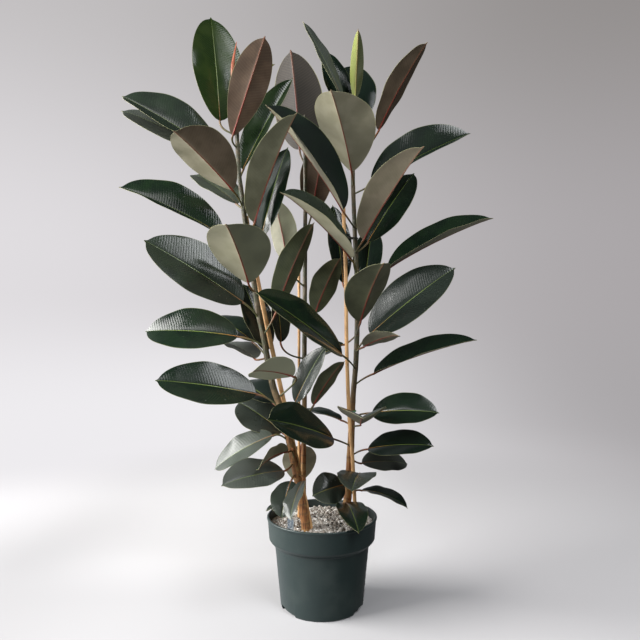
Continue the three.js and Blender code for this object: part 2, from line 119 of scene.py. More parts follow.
def skin(rings):
    """Points and faces of a closed skin over rings of points, with a fan over each end."""
    rings = np.asarray(rings)
    rows, columns = rings.shape[:2]
    points = rings.reshape(-1, 3).tolist()
    faces = []
    for row in range(rows - 1):
        for column in range(columns):
            beside = (column + 1) % columns
            here, above = row * columns, (row + 1) * columns
            faces.append((here + column, here + beside, above + beside, above + column))
    for row in (0, rows - 1):
        middle = len(points)
        points.append(rings[row].mean(0).tolist())
        for column in range(columns):
            edge = (row * columns + column, row * columns + (column + 1) % columns)
            faces.append((edge[1], edge[0], middle) if row == 0 else (*edge, middle))
    return points, faces


def piece(name, points, faces, materials, kinds=None, sharp=40):
    """A smooth mesh in the scene, riding with the plant, with its edges sharp past an angle."""
    mesh = bpy.data.meshes.new(name)
    mesh.from_pydata(points, [], faces)
    for material in materials:
        mesh.materials.append(material)
    if kinds is not None:
        mesh.polygons.foreach_set("material_index", np.asarray(kinds, np.int32))
    mesh.shade_smooth()
    mesh.set_sharp_from_angle(angle=math.radians(sharp))
    made = bpy.data.objects.new(name, mesh)
    scene.collection.objects.link(made)
    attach(made, "root")
    return made


def feed(tree, socket, value):
    """Links a value that comes from another node, or sets the socket itself."""
    if isinstance(value, bpy.types.NodeSocket):
        tree.links.new(value, socket)
    else:
        socket.default_value = value


def add(tree, kind, settings=None, **inputs):
    """A shader node with its settings and what feeds its named sockets."""
    made = tree.nodes.new(kind)
    for name, value in (settings or {}).items():
        setattr(made, name, value)
    for name, value in inputs.items():
        feed(tree, made.inputs[name.replace("_", " ")], value)
    return made


def sum_of(tree, operation, *values):
    """One step of arithmetic."""
    made = tree.nodes.new("ShaderNodeMath")
    made.operation = operation
    for socket, value in zip(made.inputs, values):
        feed(tree, socket, value)
    return made.outputs[0]


def mixed(tree, share, first, second):
    """A colour between two colours."""
    made = tree.nodes.new("ShaderNodeMix")
    made.data_type = "RGBA"
    for place, value in ((0, share), (6, first), (7, second)):
        feed(tree, made.inputs[place], value)
    return made.outputs[2]


def ranged(tree, value, low, high, to_low=0.0, to_high=1.0):
    """A value carried from one range smoothly to another."""
    made = tree.nodes.new("ShaderNodeMapRange")
    made.interpolation_type = "SMOOTHSTEP"
    for place, amount in enumerate((value, low, high, to_low, to_high)):
        feed(tree, made.inputs[place], amount)
    return made.outputs[0]


def paint(red, green, blue):
    """The colour that a screen shows as these three numbers from 0 to 255."""
    return (*(((part / 255 + 0.055) / 1.055) ** 2.4 for part in (red, green, blue)), 1.0)


def effect(name, inputs, outputs):
    """An empty node group, what can be read in it, and what it gives out."""
    tree = bpy.data.node_groups.new(name, "ShaderNodeTree")
    for label, value in inputs.items():
        kind = "NodeSocketVector" if value is None else "NodeSocketFloat"
        socket = tree.interface.new_socket(name=label, in_out="INPUT", socket_type=kind)
        if value is not None:
            socket.default_value = value
    for label in outputs:
        tree.interface.new_socket(name=label, in_out="OUTPUT", socket_type="NodeSocketFloat")
    read = tree.nodes.new("NodeGroupInput").outputs
    given = tree.nodes.new("NodeGroupOutput").inputs
    return tree, read, given


def use(tree, group, **inputs):
    """The outputs of a node group used in a material."""
    return add(tree, "ShaderNodeGroup", {"node_tree": group}, **inputs).outputs


def material(name, roughness, base, **fixed):
    """A material with its shader; what is the same all over is set on the shader itself."""
    made = bpy.data.materials.new(name)
    made.use_nodes = True
    made.diffuse_color = base
    shader = made.node_tree.nodes["Principled BSDF"]
    shader.inputs["Base Color"].default_value = base
    shader.inputs["Roughness"].default_value = roughness
    for label, value in fixed.items():
        shader.inputs[label.replace("_", " ")].default_value = value
    return made, made.node_tree, shader


def finish(tree, shader, colour, roughness=None):
    """What the shader takes as its colour and, where it changes, its roughness."""
    feed(tree, shader.inputs["Base Color"], colour)
    if roughness is not None:
        feed(tree, shader.inputs["Roughness"], roughness)


def place(tree):
    """Where a point of the object lies, in metres."""
    return add(tree, "ShaderNodeTexCoord").outputs["Object"]


def relief(tree, shader, height, depth):
    """Small bumps of a given depth in metres, on the shader's normal."""
    made = add(tree, "ShaderNodeBump", Strength=1.0, Distance=depth, Height=height)
    feed(tree, shader.inputs["Normal"], made.outputs["Normal"])


patches, read, given = effect(
    "patches",
    {"Place": None, "Per Metre": 20.0, "Detail": 3.0, "From": 0.35, "To": 0.65},
    ["Amount"],
)
cloud = add(
    patches,
    "ShaderNodeTexNoise",
    Vector=read["Place"],
    Scale=read["Per Metre"],
    Detail=read["Detail"],
).outputs[0]
feed(patches, given["Amount"], ranged(patches, cloud, read["From"], read["To"]))

specks, read, given = effect(
    "specks", {"Place": None, "Per Metre": 300.0, "Share": 0.1, "Size": 0.25}, ["Amount"]
)
cells = add(
    specks, "ShaderNodeTexVoronoi", Vector=read["Place"], Scale=read["Per Metre"]
).outputs
lot = add(specks, "ShaderNodeSeparateColor", Color=cells["Color"]).outputs[0]
chosen = sum_of(specks, "LESS_THAN", lot, read["Share"])
near = ranged(specks, cells["Distance"], read["Size"], 0.0)
feed(specks, given["Amount"], sum_of(specks, "MULTIPLY", chosen, near))

pot_plastic, tree, shader = material("pot_plastic", 0.42, paint(50, 63, 64))
spot = place(tree)
worn = use(tree, patches, Place=spot, Per_Metre=14.0, Detail=6.0, From=0.42, To=0.72)[0]
dusty = use(tree, specks, Place=spot, Per_Metre=420.0, Share=0.05, Size=0.22)[0]
mould_grain = use(tree, patches, Place=spot, Per_Metre=900.0, Detail=2.0, From=0.2, To=0.8)[0]
body = mixed(tree, worn, paint(38, 51, 50), paint(50, 61, 59))
body = mixed(tree, dusty, body, paint(120, 122, 114))
finish(tree, shader, body, ranged(tree, worn, 0.0, 1.0, 0.36, 0.55))
relief(tree, shader, mould_grain, 0.00012)

notch_half_angle = math.degrees(math.asin(NOTCH_HALF_WIDTH / FOOT_RADIUS))
turns = [(360 * column / POT_COLUMNS, None) for column in range(POT_COLUMNS)]
for middle in NOTCH_MIDDLES:
    for side in (-1, 1):
        edge = middle + side * notch_half_angle
        turns.append((edge - side * NOTCH_SIDE_TURN, True))
        turns.append((edge + side * NOTCH_SIDE_TURN, False))
turns.sort(key=lambda turn: turn[0])
whole = np.array(softened(POT_OUTLINE))
notched = [NOTCH_POINTS.get(number, point) for number, point in enumerate(POT_OUTLINE)]
notched = np.array(softened(notched))
columns = []
for angle, inside in turns:
    if inside is None:
        inside = min(abs(angle - middle) for middle in NOTCH_MIDDLES) < notch_half_angle
    radii, levels = (notched if inside else whole).T
    turn = math.radians(angle)
    columns.append(np.stack([radii * math.cos(turn), radii * math.sin(turn), levels], 1))
pot = piece("nursery_pot", *skin(np.stack(columns, 1)), [pot_plastic])
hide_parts("pot")


# STEMS
# Three upright stems, rooted in the mix. The wood is brown and streaked at the foot and olive
# green higher up, ringed by the scars of shed sheaths, a little swollen where each leaf stands.
# Each row gives a point of the stem and its radius there.
STEMS = {
    "left": [
        (-0.036, -0.058, 0.100, 0.0110),
        (-0.038, -0.058, 0.203, 0.0110),
        (-0.052, -0.058, 0.292, 0.0100),
        (-0.072, -0.056, 0.388, 0.0090),
        (-0.099, -0.054, 0.488, 0.0080),
        (-0.119, -0.053, 0.550, 0.0075),
        (-0.136, -0.051, 0.640, 0.0070),
        (-0.154, -0.050, 0.730, 0.0067),
        (-0.171, -0.050, 0.850, 0.0063),
        (-0.188, -0.050, 0.970, 0.0058),
        (-0.199, -0.050, 1.060, 0.0052),
        (-0.205, -0.050, 1.180, 0.0046),
        (-0.211, -0.047, 1.240, 0.0036),
        (-0.214, -0.046, 1.300, 0.0042),
        (-0.205, -0.044, 1.364, 0.0008),
    ],
    "middle": [
        (-0.047, 0.034, 0.110, 0.0070),
        (-0.047, 0.034, 0.203, 0.0070),
        (-0.047, 0.034, 0.306, 0.0065),
        (-0.044, 0.033, 0.500, 0.0060),
        (-0.044, 0.033, 0.650, 0.0058),
        (-0.043, 0.033, 0.800, 0.0055),
        (-0.042, 0.034, 1.000, 0.0050),
        (-0.043, 0.035, 1.160, 0.0040),
        (-0.044, 0.035, 1.215, 0.0012),
    ],
    "right": [
        (0.063, 0.067, 0.095, 0.0105),
        (0.064, 0.067, 0.203, 0.0105),
        (0.071, 0.063, 0.318, 0.0095),
        (0.075, 0.061, 0.400, 0.0085),
        (0.079, 0.060, 0.492, 0.0070),
        (0.087, 0.060, 0.594, 0.0067),
        (0.090, 0.060, 0.700, 0.0063),
        (0.089, 0.060, 0.800, 0.0060),
        (0.084, 0.060, 0.920, 0.0056),
        (0.079, 0.060, 1.075, 0.0052),
        (0.082, 0.060, 1.200, 0.0046),
        (0.083, 0.059, 1.252, 0.0030),
    ],
}
# For each leaf: the height of its joint, the base and tip of its blade, its width, how far it is
# rolled and folded in degrees, its arch, where along it it is broadest, how young it is, how much
# dust and painted sheen grey it, and how brown (1), dark brown (2) or olive (-1) each half is
# underneath, partly painted shade where a half lies in shadow.
Leaf = namedtuple(
    "Leaf",
    "joint base tip width roll fold arch broadest youth dust halves",
    defaults=(0, 12, 0.006, 0.5, 0, 0, (-0.4, -0.4)),
)
LEAVES = {
    "left": [
        Leaf(1.185, (-0.196, -0.042, 1.215), (-0.118, -0.005, 1.328), 0.042, 0, 42, 0.003,
             youth=1, halves=(0, 0)),
        Leaf(1.14, (-0.245, -0.04, 1.176), (-0.279, 0.03, 1.458), 0.13, 0, 14,
             youth=0.1, halves=(0, 0)),
        Leaf(1.108, (-0.21, -0.075, 1.13), (-0.127, -0.15, 1.333), 0.09, -35, 12, 0.004,
             broadest=0.58, halves=(0.9, 0.9)),
        Leaf(1.06, (-0.262, -0.038, 1.104), (-0.49, -0.01, 1.246), 0.128, 44, 28, 0.008,
             dust=0.12),
        Leaf(1.06, (-0.262, 0.005, 1.112), (-0.506, 0.035, 1.226), 0.098, 41, 5, dust=0.5),
        Leaf(0.972, (-0.192, -0.028, 1.062), (-0.074, 0.022, 1.303), 0.09, 35, 28, youth=0.03),
        Leaf(0.958, (-0.209, -0.075, 1.003), (-0.316, -0.215, 1.104), 0.136, -25, 28,
             broadest=0.54, halves=(0.75, 0)),
        Leaf(0.958, (-0.204, -0.035, 0.978), (-0.33, 0.07, 1.072), 0.104, 15,
             youth=0.08, dust=0.5),
        Leaf(0.892, (-0.16, -0.075, 0.928), (-0.058, -0.15, 1.163), 0.112, 8, 32,
             halves=(-0.8, -0.6)),
        Leaf(0.892, (-0.146, -0.045, 0.895), (-0.084, -0.025, 1.118), 0.092, 40,
             halves=(0.6, 0.6)),
        Leaf(0.872, (-0.237, -0.06, 0.9), (-0.488, -0.04, 1.019), 0.126, 38, 32, 0.01),
        Leaf(0.762, (-0.172, -0.078, 0.785), (-0.202, -0.235, 0.904), 0.15, -4, 18, 0.008,
             broadest=0.53, dust=0.22, halves=(-0.8, 0)),
        Leaf(0.698, (-0.186, -0.07, 0.741), (-0.408, -0.11, 0.882), 0.138, 60, 14, 0.008,
             dust=0.12),
        Leaf(0.661, (-0.11, -0.066, 0.717), (-0.02, -0.03, 0.934), 0.084, -64, 16, 0.008,
             halves=(-1, -0.9)),
        Leaf(0.634, (-0.201, -0.05, 0.659), (-0.436, 0, 0.67), 0.122, 52, 12, 0.012),
        Leaf(0.608, (-0.168, -0.02, 0.645), (-0.288, 0.13, 0.706), 0.09, 10),
        Leaf(0.608, (-0.16, -0.045, 0.606), (-0.252, 0.095, 0.638), 0.086, dust=0.8),
        Leaf(0.582, (-0.136, -0.008, 0.622), (-0.2, 0.055, 0.79), 0.084, 10),
        Leaf(0.512, (-0.067, -0.105, 0.57), (-0.15, -0.22, 0.592), 0.092, -36,
             dust=0.9, halves=(-0.1, -0.1)),
        Leaf(0.485, (-0.156, -0.06, 0.523), (-0.388, -0.09, 0.559), 0.118, 50, 12, 0.008),
        Leaf(0.485, (-0.118, -0.028, 0.498), (-0.212, 0.112, 0.53), 0.086, 20),
        Leaf(0.404, (-0.095, -0.031, 0.426), (-0.212, 0.04, 0.49), 0.112, 32, 8, 0.008, dust=0.2),
        Leaf(0.404, (-0.117, -0.066, 0.426), (-0.258, -0.046, 0.341), 0.092, 36, 8, 0.01,
             dust=0.36),
        Leaf(0.362, (-0.09, -0.088, 0.348), (-0.22, -0.178, 0.338), 0.096, 28, 10, 0.008,
             dust=0.4),
        Leaf(0.362, (-0.08, -0.092, 0.394), (-0.141, -0.172, 0.372), 0.076, -46, 12, 0.008,
             halves=(-0.3, -0.3)),
        Leaf(0.332, (-0.073, -0.082, 0.322), (-0.092, -0.128, 0.25), 0.07, 0, 10, dust=0.2),
        Leaf(0.332, (-0.045, -0.095, 0.326), (-0.07, -0.175, 0.262), 0.058, -30, 10, dust=0.35),
        Leaf(0.262, (-0.078, -0.025, 0.25), (-0.138, -0.018, 0.234), 0.046, 10, 10, 0.003),
    ],
    "middle": [
        Leaf(1.09, (-0.056, 0.048, 1.129), (-0.078, 0.02, 1.371), 0.136, -20, halves=(2.4, 1.7)),
        Leaf(0.915, (-0.025, 0.05, 0.975), (0.01, 0.06, 1.16), 0.092, -84, halves=(0.9, 0.9)),
        Leaf(0.78, (-0.086, 0.008, 0.841), (-0.122, 0.038, 1.003), 0.08, -100, 14,
             halves=(-0.6, -0.4)),
        Leaf(0.69, (-0.018, 0.054, 0.716), (0.046, 0.06, 0.856), 0.082, -60, halves=(-1, -0.95)),
        Leaf(0.6, (-0.101, 0.002, 0.643), (-0.116, 0.01, 0.752), 0.06, 20),
        Leaf(0.442, (-0.066, -0.006, 0.496), (0.008, -0.036, 0.634), 0.07, 68, dust=0.15),
        Leaf(0.442, (-0.022, 0.018, 0.486), (0.054, -0.008, 0.598), 0.056, -34, 14,
             halves=(-0.9, -0.9)),
        Leaf(0.385, (-0.054, 0.06, 0.374), (-0.062, 0.132, 0.262), 0.092, 0, 12, 0.008),
    ],
    "right": [
        Leaf(1.228, (0.084, 0.056, 1.262), (0.092, 0.052, 1.438), 0.044, -70, 38, 0.003,
             youth=0.9, halves=(-1, 0)),
        Leaf(1.172, (0.089, 0.092, 1.204), (0.083, 0.19, 1.399), 0.118),
        Leaf(1.172, (0.05, 0.085, 1.235), (0.013, 0.15, 1.421), 0.084),
        Leaf(1.14, (0.051, 0.05, 1.261), (-0.047, 0.02, 1.443), 0.062, 50, 10, 0.004, dust=0.4),
        Leaf(1.1, (0.14, 0.02, 1.171), (0.252, -0.04, 1.366), 0.1, -2, halves=(0.85, 0.8)),
        Leaf(1.036, (0.075, 0.028, 1.069), (0.02, -0.145, 1.215), 0.16, 8, 20, 0.008,
             broadest=0.57, dust=0.12, halves=(0.2, 0)),
        Leaf(1.018, (0.128, 0.066, 1.045), (0.372, 0.028, 1.166), 0.138, 54, 36, 0.01),
        Leaf(0.931, (0.052, 0.005, 0.969), (-0.132, -0.066, 1.208), 0.13, 62, 48, 0.008,
             halves=(-0.1, 0)),
        Leaf(0.868, (0.102, 0.02, 0.898), (0.236, -0.085, 1.105), 0.12, -7, 36,
             halves=(0.55, 0.45)),
        Leaf(0.868, (0.118, 0.062, 0.898), (0.243, 0.115, 1.086), 0.108, 38, 6),
        Leaf(0.8, (0.072, 0.015, 0.852), (-0.091, -0.15, 0.987), 0.112, 47, 36, 0.008,
             youth=0.02, dust=0.2, halves=(0, -0.1)),
        Leaf(0.77, (0.112, 0.092, 0.787), (0.139, 0.2, 0.95), 0.082),
        Leaf(0.77, (0.055, 0.098, 0.794), (0.029, 0.126, 1.003), 0.068, 20),
        Leaf(0.742, (0.166, 0.03, 0.828), (0.424, 0.01, 0.952), 0.124, 22, 28, 0.008,
             halves=(-0.5, -0.5)),
        Leaf(0.66, (0.094, -0.005, 0.694), (0.136, -0.172, 0.826), 0.116, 10, 22, 0.008,
             halves=(-0.5, -0.7)),
        Leaf(0.66, (0.056, 0.078, 0.634), (-0.026, 0.092, 0.586), 0.06, 25),
        Leaf(0.615, (0.121, 0.032, 0.662), (0.33, 0.01, 0.828), 0.138, 54, 14, 0.008, dust=0.1),
        Leaf(0.615, (0.104, 0.012, 0.632), (0.178, -0.105, 0.665), 0.06, -20, 10),
        Leaf(0.571, (0.05, 0, 0.613), (-0.147, -0.15, 0.762), 0.126, 50, 12, 0.008),
        Leaf(0.528, (0.131, 0.042, 0.563), (0.384, 0.01, 0.65), 0.104, 20, 24, 0.008),
        Leaf(0.448, (0.125, 0.022, 0.466), (0.281, -0.04, 0.476), 0.1, 44, 12, 0.008),
        Leaf(0.424, (0.096, 0.015, 0.438), (0.09, -0.19, 0.487), 0.124, 0, 22, 0.01),
        Leaf(0.424, (0.05, 0.072, 0.44), (-0.07, 0.132, 0.455), 0.076, 0, 10),
        Leaf(0.374, (0.028, 0, 0.406), (-0.119, -0.175, 0.482), 0.124, 50, 8, 0.008,
             broadest=0.56),
        Leaf(0.346, (0.116, 0.036, 0.373), (0.271, -0.024, 0.393), 0.098, 30, 10, 0.008),
        Leaf(0.346, (0.103, 0.074, 0.328), (0.226, 0.11, 0.317), 0.08, 34, 10, 0.008, dust=0.5),
        Leaf(0.268, (0.056, 0.044, 0.28), (-0.024, 0.014, 0.26), 0.086, 50, 8, 0.008, dust=0.15),
        Leaf(0.268, (0.095, 0.032, 0.312), (0.07, -0.072, 0.297), 0.098, 0, 10, 0.008,
             broadest=0.38, dust=0.25),
        Leaf(0.24, (0.102, 0.062, 0.262), (0.215, 0.02, 0.229), 0.078, 0, 10, 0.01),
        Leaf(0.222, (0.06, 0.03, 0.238), (0.082, -0.152, 0.226), 0.074, 0, 12, 0.012),
    ],
}
RING_STEP = 0.0025
STEM_SIDES = 28
WOODY_UP_TO, GREEN_FROM = 0.32, 0.62
SCAR_HALF_HEIGHT, SCAR_DEPTH = 0.0016, 0.05
SWELLING_SPREAD, SWELLING_RISE = 3.2, 0.07
SPARE_SCAR_ABOVE_FOOT, SPARE_SCAR_BELOW_LEAVES = 0.12, 0.012
SPARE_SCAR_SPACING, SPARE_SCAR_SHIFT = 0.021, 0.004
LONG_SPACE = 0.05
LUMP_RISE = (0.006, 0.02)
LUMP_WAVES, LUMP_PITCHES = (1, 2, 3, 5), (9, -21, 35, 60)
# A rolled young leaf in its sheath tops the left stem, and a short bud stub stands low on it.
SHEATH_START = {"left": 1.232}
BLUSH_FROM, BLUSH_FULL = 1.24, 1.33
STUB_HEIGHT, STUB_WAY = 0.392, (0.35, -0.93, 0.1)
STUB_REACHES, STUB_RADII, STUB_SIDES = (0.6, 1.2, 1.7), (0.0032, 0.0028, 0.0025), 12


def on_path(path, heights, ease=0.8):
    """The path's middle and radius at these heights, curving smoothly through its points."""
    path = np.array(path)
    known = path[:, 2]
    at = np.clip(heights, known[0], known[-1])
    low = np.clip(np.searchsorted(known, at) - 1, 0, len(known) - 2)
    span = known[low + 1] - known[low]
    share = (at - known[low]) / span
    columns = []
    for values in path[:, [0, 1, 3]].T:
        slope = np.gradient(values, known) * ease
        columns.append(
            (1 + 2 * share) * (1 - share) ** 2 * values[low]
            + share * (1 - share) ** 2 * span * slope[low]
            + share**2 * (3 - 2 * share) * values[low + 1]
            + share**2 * (share - 1) * span * slope[low + 1]
        )
    return np.stack([columns[0], columns[1], at], 1), columns[2]


def at_height(path, height):
    """The path's middle and radius at one height."""
    middles, radii = on_path(path, np.array([height]))
    return middles[0], radii[0]


def full_turn(steps):
    """The angles of so many even steps round a circle."""
    return 2 * math.pi * np.arange(steps) / steps


def rings_along(middles, radii, sides, guides=((0.13, 0.99, 0.05), (0.97, 0.1, 0.22))):
    """Rings of points round a line, with a radius for each ring or for each of its points."""
    middles = np.asarray(middles, float)
    forward = np.gradient(middles, axis=0)
    forward /= np.linalg.norm(forward, axis=1, keepdims=True)
    first = np.cross(forward, guides[0])
    if (np.linalg.norm(first, axis=1) < 0.2).any():
        first = np.cross(forward, guides[1])
    first /= np.linalg.norm(first, axis=1, keepdims=True)
    second = np.cross(forward, first)
    turn = full_turn(sides)[:, None]
    outward = first[:, None] * np.cos(turn) + second[:, None] * np.sin(turn)
    radii = np.asarray(radii, float).reshape(len(middles), -1, 1)
    return middles[:, None] + outward * radii


def mark(made, name, values):
    """A number for each point of a mesh, for its material to read."""
    made.data.attributes.new(name, "FLOAT", "POINT").data.foreach_set(
        "value", np.asarray(values, np.float32)
    )


def marked(tree, name):
    """The number that the mesh keeps for each point."""
    return add(tree, "ShaderNodeAttribute", {"attribute_name": name}).outputs["Fac"]


def washed(tree, mask, strength, under, colour):
    """A colour laid over another where a mask says, up to a given strength."""
    return mixed(tree, sum_of(tree, "MULTIPLY", mask, strength), under, colour)


def height_of(tree):
    """How high a point of the object lies."""
    return add(tree, "ShaderNodeSeparateXYZ", Vector=place(tree)).outputs["Z"]


def stretched(tree, upward):
    """Where a point lies, with heights shrunk so that what is drawn there runs upward."""
    scale = (1.0, 1.0, upward)
    return add(tree, "ShaderNodeMapping", Vector=place(tree), Scale=scale).outputs["Vector"]


bark, tree, shader = material("bark", 0.62, paint(132, 100, 62))
spot = place(tree)
long_spot = stretched(tree, 0.09)
streaks = use(tree, patches, Place=long_spot, Per_Metre=420.0, Detail=5.0, From=0.38, To=0.66)[0]
mottle = use(tree, patches, Place=spot, Per_Metre=55.0, Detail=4.0, From=0.46, To=0.58)[0]
pores = use(tree, specks, Place=spot, Per_Metre=330.0, Share=0.12, Size=0.3)[0]
wood = mixed(tree, streaks, paint(154, 103, 56), paint(94, 55, 31))
wood = mixed(tree, mottle, wood, paint(152, 115, 70))
green = mixed(tree, streaks, paint(73, 75, 51), paint(58, 56, 40))
green = mixed(tree, mottle, green, paint(87, 75, 52))
upper_stem = ranged(tree, height_of(tree), WOODY_UP_TO, GREEN_FROM)
skin_colour = mixed(tree, upper_stem, wood, green)
skin_colour = washed(tree, marked(tree, "ring"), 0.55, skin_colour, paint(62, 50, 36))
skin_colour = mixed(tree, pores, skin_colour, paint(176, 150, 112))
finish(tree, shader, skin_colour, ranged(tree, upper_stem, 0.0, 1.0, 0.68, 0.5))
rough = sum_of(tree, "ADD", streaks, sum_of(tree, "MULTIPLY", pores, 0.8))
relief(tree, shader, rough, 0.0004)

sheath, tree, shader = material("young_sheath", 0.4, paint(184, 104, 66))
veil = use(tree, patches, Place=place(tree), Per_Metre=160.0, Detail=3.0, From=0.35, To=0.7)[0]
blush = ranged(tree, height_of(tree), BLUSH_FROM, BLUSH_FULL)
blush = mixed(tree, blush, paint(140, 108, 74), paint(172, 92, 56))
finish(tree, shader, mixed(tree, veil, blush, paint(150, 70, 46)))

rng = np.random.default_rng(11)
for name, path in STEMS.items():
    heights = np.append(np.arange(path[0][2], path[-1][2], RING_STEP), path[-1][2])
    middles, radii = on_path(path, heights)
    joints = [leaf.joint for leaf in LEAVES[name]]
    lowest, highest = path[0][2] + SPARE_SCAR_ABOVE_FOOT, joints[-1] - SPARE_SCAR_BELOW_LEAVES
    spare = np.arange(lowest, highest, SPARE_SCAR_SPACING)
    spare = spare + rng.uniform(-SPARE_SCAR_SHIFT, SPARE_SCAR_SHIFT, len(spare))
    between = [(a + b) / 2 for a, b in zip(joints, joints[1:]) if a - b > LONG_SPACE]
    scars, swelling = np.zeros((2, len(heights)))
    for joint in [*joints, *spare, *between]:
        away = (heights - joint) / SCAR_HALF_HEIGHT
        scars = np.maximum(scars, np.exp(-(away**2)))
        swelling = np.maximum(swelling, np.exp(-((away / SWELLING_SPREAD) ** 2)))
    turn = full_turn(STEM_SIDES)
    lumps = sum(
        rng.uniform(*LUMP_RISE) * np.cos(turn[None] * wave + heights[:, None] * pitch + start)
        for wave, pitch, start in zip(LUMP_WAVES, LUMP_PITCHES, rng.uniform(0, 6, 4))
    )
    knots = 1 + lumps + (swelling * SWELLING_RISE - scars * SCAR_DEPTH)[:, None]
    sheath_start = SHEATH_START.get(name, math.inf)
    knots[heights > sheath_start] = 1
    points, faces = skin(rings_along(middles, radii[:, None] * knots, STEM_SIDES))
    kinds = [int(points[face[0]][2] > sheath_start) for face in faces]
    marks = np.append(np.repeat(scars, STEM_SIDES), (0, 0))
    if name == "left":
        foot, thick = at_height(path, STUB_HEIGHT)
        line = [foot + np.array(STUB_WAY) * thick * reach for reach in STUB_REACHES]
        stub_points, stub_faces = skin(rings_along(line, STUB_RADII, STUB_SIDES))
        faces += [tuple(at + len(points) for at in face) for face in stub_faces]
        kinds += [1] * len(stub_faces)
        marks = np.append(marks, np.zeros(len(stub_points)))
        points += stub_points
    stem = piece(f"stem_{name}_wood", points, faces, [bark, sheath], kinds)
    mark(stem, "ring", marks)
    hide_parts(f"stem_{name}")


# CANES
# Three thin support canes pushed into the mix beside the stems: split cane, sanded round,
# straight in the grain, cut square at the top. Each has one radius for the whole of its length.
CANES = {
    "left": (0.0055, [(-0.004, -0.041, 0.070), (-0.183, -0.035, 0.948)]),
    "middle": (0.0035, [(-0.058, 0.038, 0.080), (-0.058, 0.038, 0.900)]),
    "right": (
        0.0048,
        [
            (0.084, 0.048, 0.075),
            (0.084, 0.048, 0.203),
            (0.079, 0.046, 0.318),
            (0.068, 0.042, 0.468),
            (0.062, 0.038, 0.640),
            (0.060, 0.036, 0.800),
            (0.053, 0.034, 1.009),
        ],
    ),
}
CANE_SIDES, CANE_STEPS = 20, 60
CANE_BEVEL = 0.0005
CANE_SWELL, CANE_WAVES = 0.02, 40

cane_wood, tree, shader = material("cane_wood", 0.5, paint(214, 168, 116))
long_spot = stretched(tree, 0.02)
grain = use(tree, patches, Place=long_spot, Per_Metre=900.0, Detail=4.0, From=0.3, To=0.7)[0]
stain = use(tree, patches, Place=place(tree), Per_Metre=22.0, Detail=3.0, From=0.45, To=0.75)[0]
tan = mixed(tree, grain, paint(232, 188, 134), paint(204, 154, 102))
finish(tree, shader, mixed(tree, stain, tan, paint(180, 133, 86)))
relief(tree, shader, grain, 0.00015)

cane_paths = {
    name: [(*point, radius) for point in path] for name, (radius, path) in CANES.items()
}
for name, path in cane_paths.items():
    foot, head, radius = path[0][2], path[-1][2], path[0][3]
    heights = np.linspace(foot + CANE_BEVEL, head - CANE_BEVEL, CANE_STEPS)
    heights = np.concatenate([[foot], heights, [head]])
    middles, _ = on_path(path, heights)
    radii = radius * (1 + CANE_SWELL * np.sin(heights * CANE_WAVES))
    radii[[0, -1]] -= CANE_BEVEL
    cane = piece(f"cane_{name}_wood", *skin(rings_along(middles, radii, CANE_SIDES)), [cane_wood])
    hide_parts(f"cane_{name}")


# SUBSTRATE
# A mineral mix of pumice, zeolite and lava grains, three to ten millimetres across, filled to
# a finger under the rim. The top is a loose layer of grains over a bed of the same.
BED_RADIUS = 0.1262
BED_TOP = 0.1968
BED_BOTTOM = 0.0083
# The bed's side, in radius and height, follows the inside of the pot.
BED_SIDE = [
    (0.0950, BED_BOTTOM),
    (0.1085, 0.130),
    (0.1120, 0.1507),
    (0.1215, 0.1607),
    (0.1252, 0.167),
    (BED_RADIUS, 0.185),
    (BED_RADIUS, BED_TOP),
]
BED_COLUMNS, BED_RINGS, BED_STEP_IN = 96, 26, 0.004
BED_UNEVENNESS = 0.0006
BED_TONE, BED_TONE_SPREAD = 0.3, 0.08
GRAIN_COUNT = 2300
GRAIN_SIZES, GRAIN_SHARES = (0.0024, 0.0032, 0.0040, 0.0048), (0.2, 0.35, 0.3, 0.15)
GRAIN_RADIUS, GRAIN_LAYER = 0.1272, 0.0035
GRAIN_TURN, GRAIN_TURN_SPREAD = 2.39996, 0.02
GRAIN_STRETCH, GRAIN_BUMPS = (0.72, 1.15), 0.16
GRAIN_TONE, GRAIN_TONE_SPREAD = 0.55, 0.22
STEM_CLEARANCE, CANE_CLEARANCE, STAKE_CLEARANCE = 0.0115, 0.001, 0.004
CLEARANCE_HEIGHT = 0.2
STAKE_PLACE = (-0.074, -0.072)

grit, tree, shader = material("grit", 0.9, paint(178, 166, 146))
ramp = add(tree, "ShaderNodeValToRGB", Fac=marked(tree, "tone"))
band = ramp.color_ramp
for share, colour in (
    (0.14, paint(84, 76, 70)),
    (0.26, paint(142, 134, 124)),
    (0.46, paint(164, 156, 149)),
    (0.66, paint(192, 187, 181)),
    (0.88, paint(228, 226, 222)),
):
    band.elements.new(share).color = colour
band.elements[0].color = paint(44, 40, 38)
band.elements[-1].color = paint(244, 243, 240)
spot = place(tree)
pits = use(tree, specks, Place=spot, Per_Metre=900.0, Share=0.22, Size=0.4)[0]
dusty = use(tree, patches, Place=spot, Per_Metre=700.0, Detail=4.0, From=0.35, To=0.7)[0]
stone = washed(tree, dusty, 0.35, ramp.outputs[0], paint(160, 150, 134))
stone = washed(tree, pits, 0.6, stone, paint(84, 74, 62))
finish(tree, shader, stone)
relief(tree, shader, dusty, 0.0005)


def level_ring(radius, level, turn):
    """Points round an upright axis, all at one height or each at its own."""
    level = np.broadcast_to(level, turn.shape)
    return np.stack([radius * np.cos(turn), radius * np.sin(turn), level], 1)


turn = full_turn(BED_COLUMNS)
rows = [level_ring(radius, level, turn) for radius, level in BED_SIDE]
for radius in np.linspace(BED_RADIUS - BED_STEP_IN, BED_STEP_IN, BED_RINGS):
    level = BED_TOP + rng.normal(0, BED_UNEVENNESS, BED_COLUMNS)
    rows.append(level_ring(radius, level, turn))
points, faces = skin(np.stack(rows))
tones = list(np.clip(rng.normal(BED_TONE, BED_TONE_SPREAD, len(points)), 0.05, 0.6))

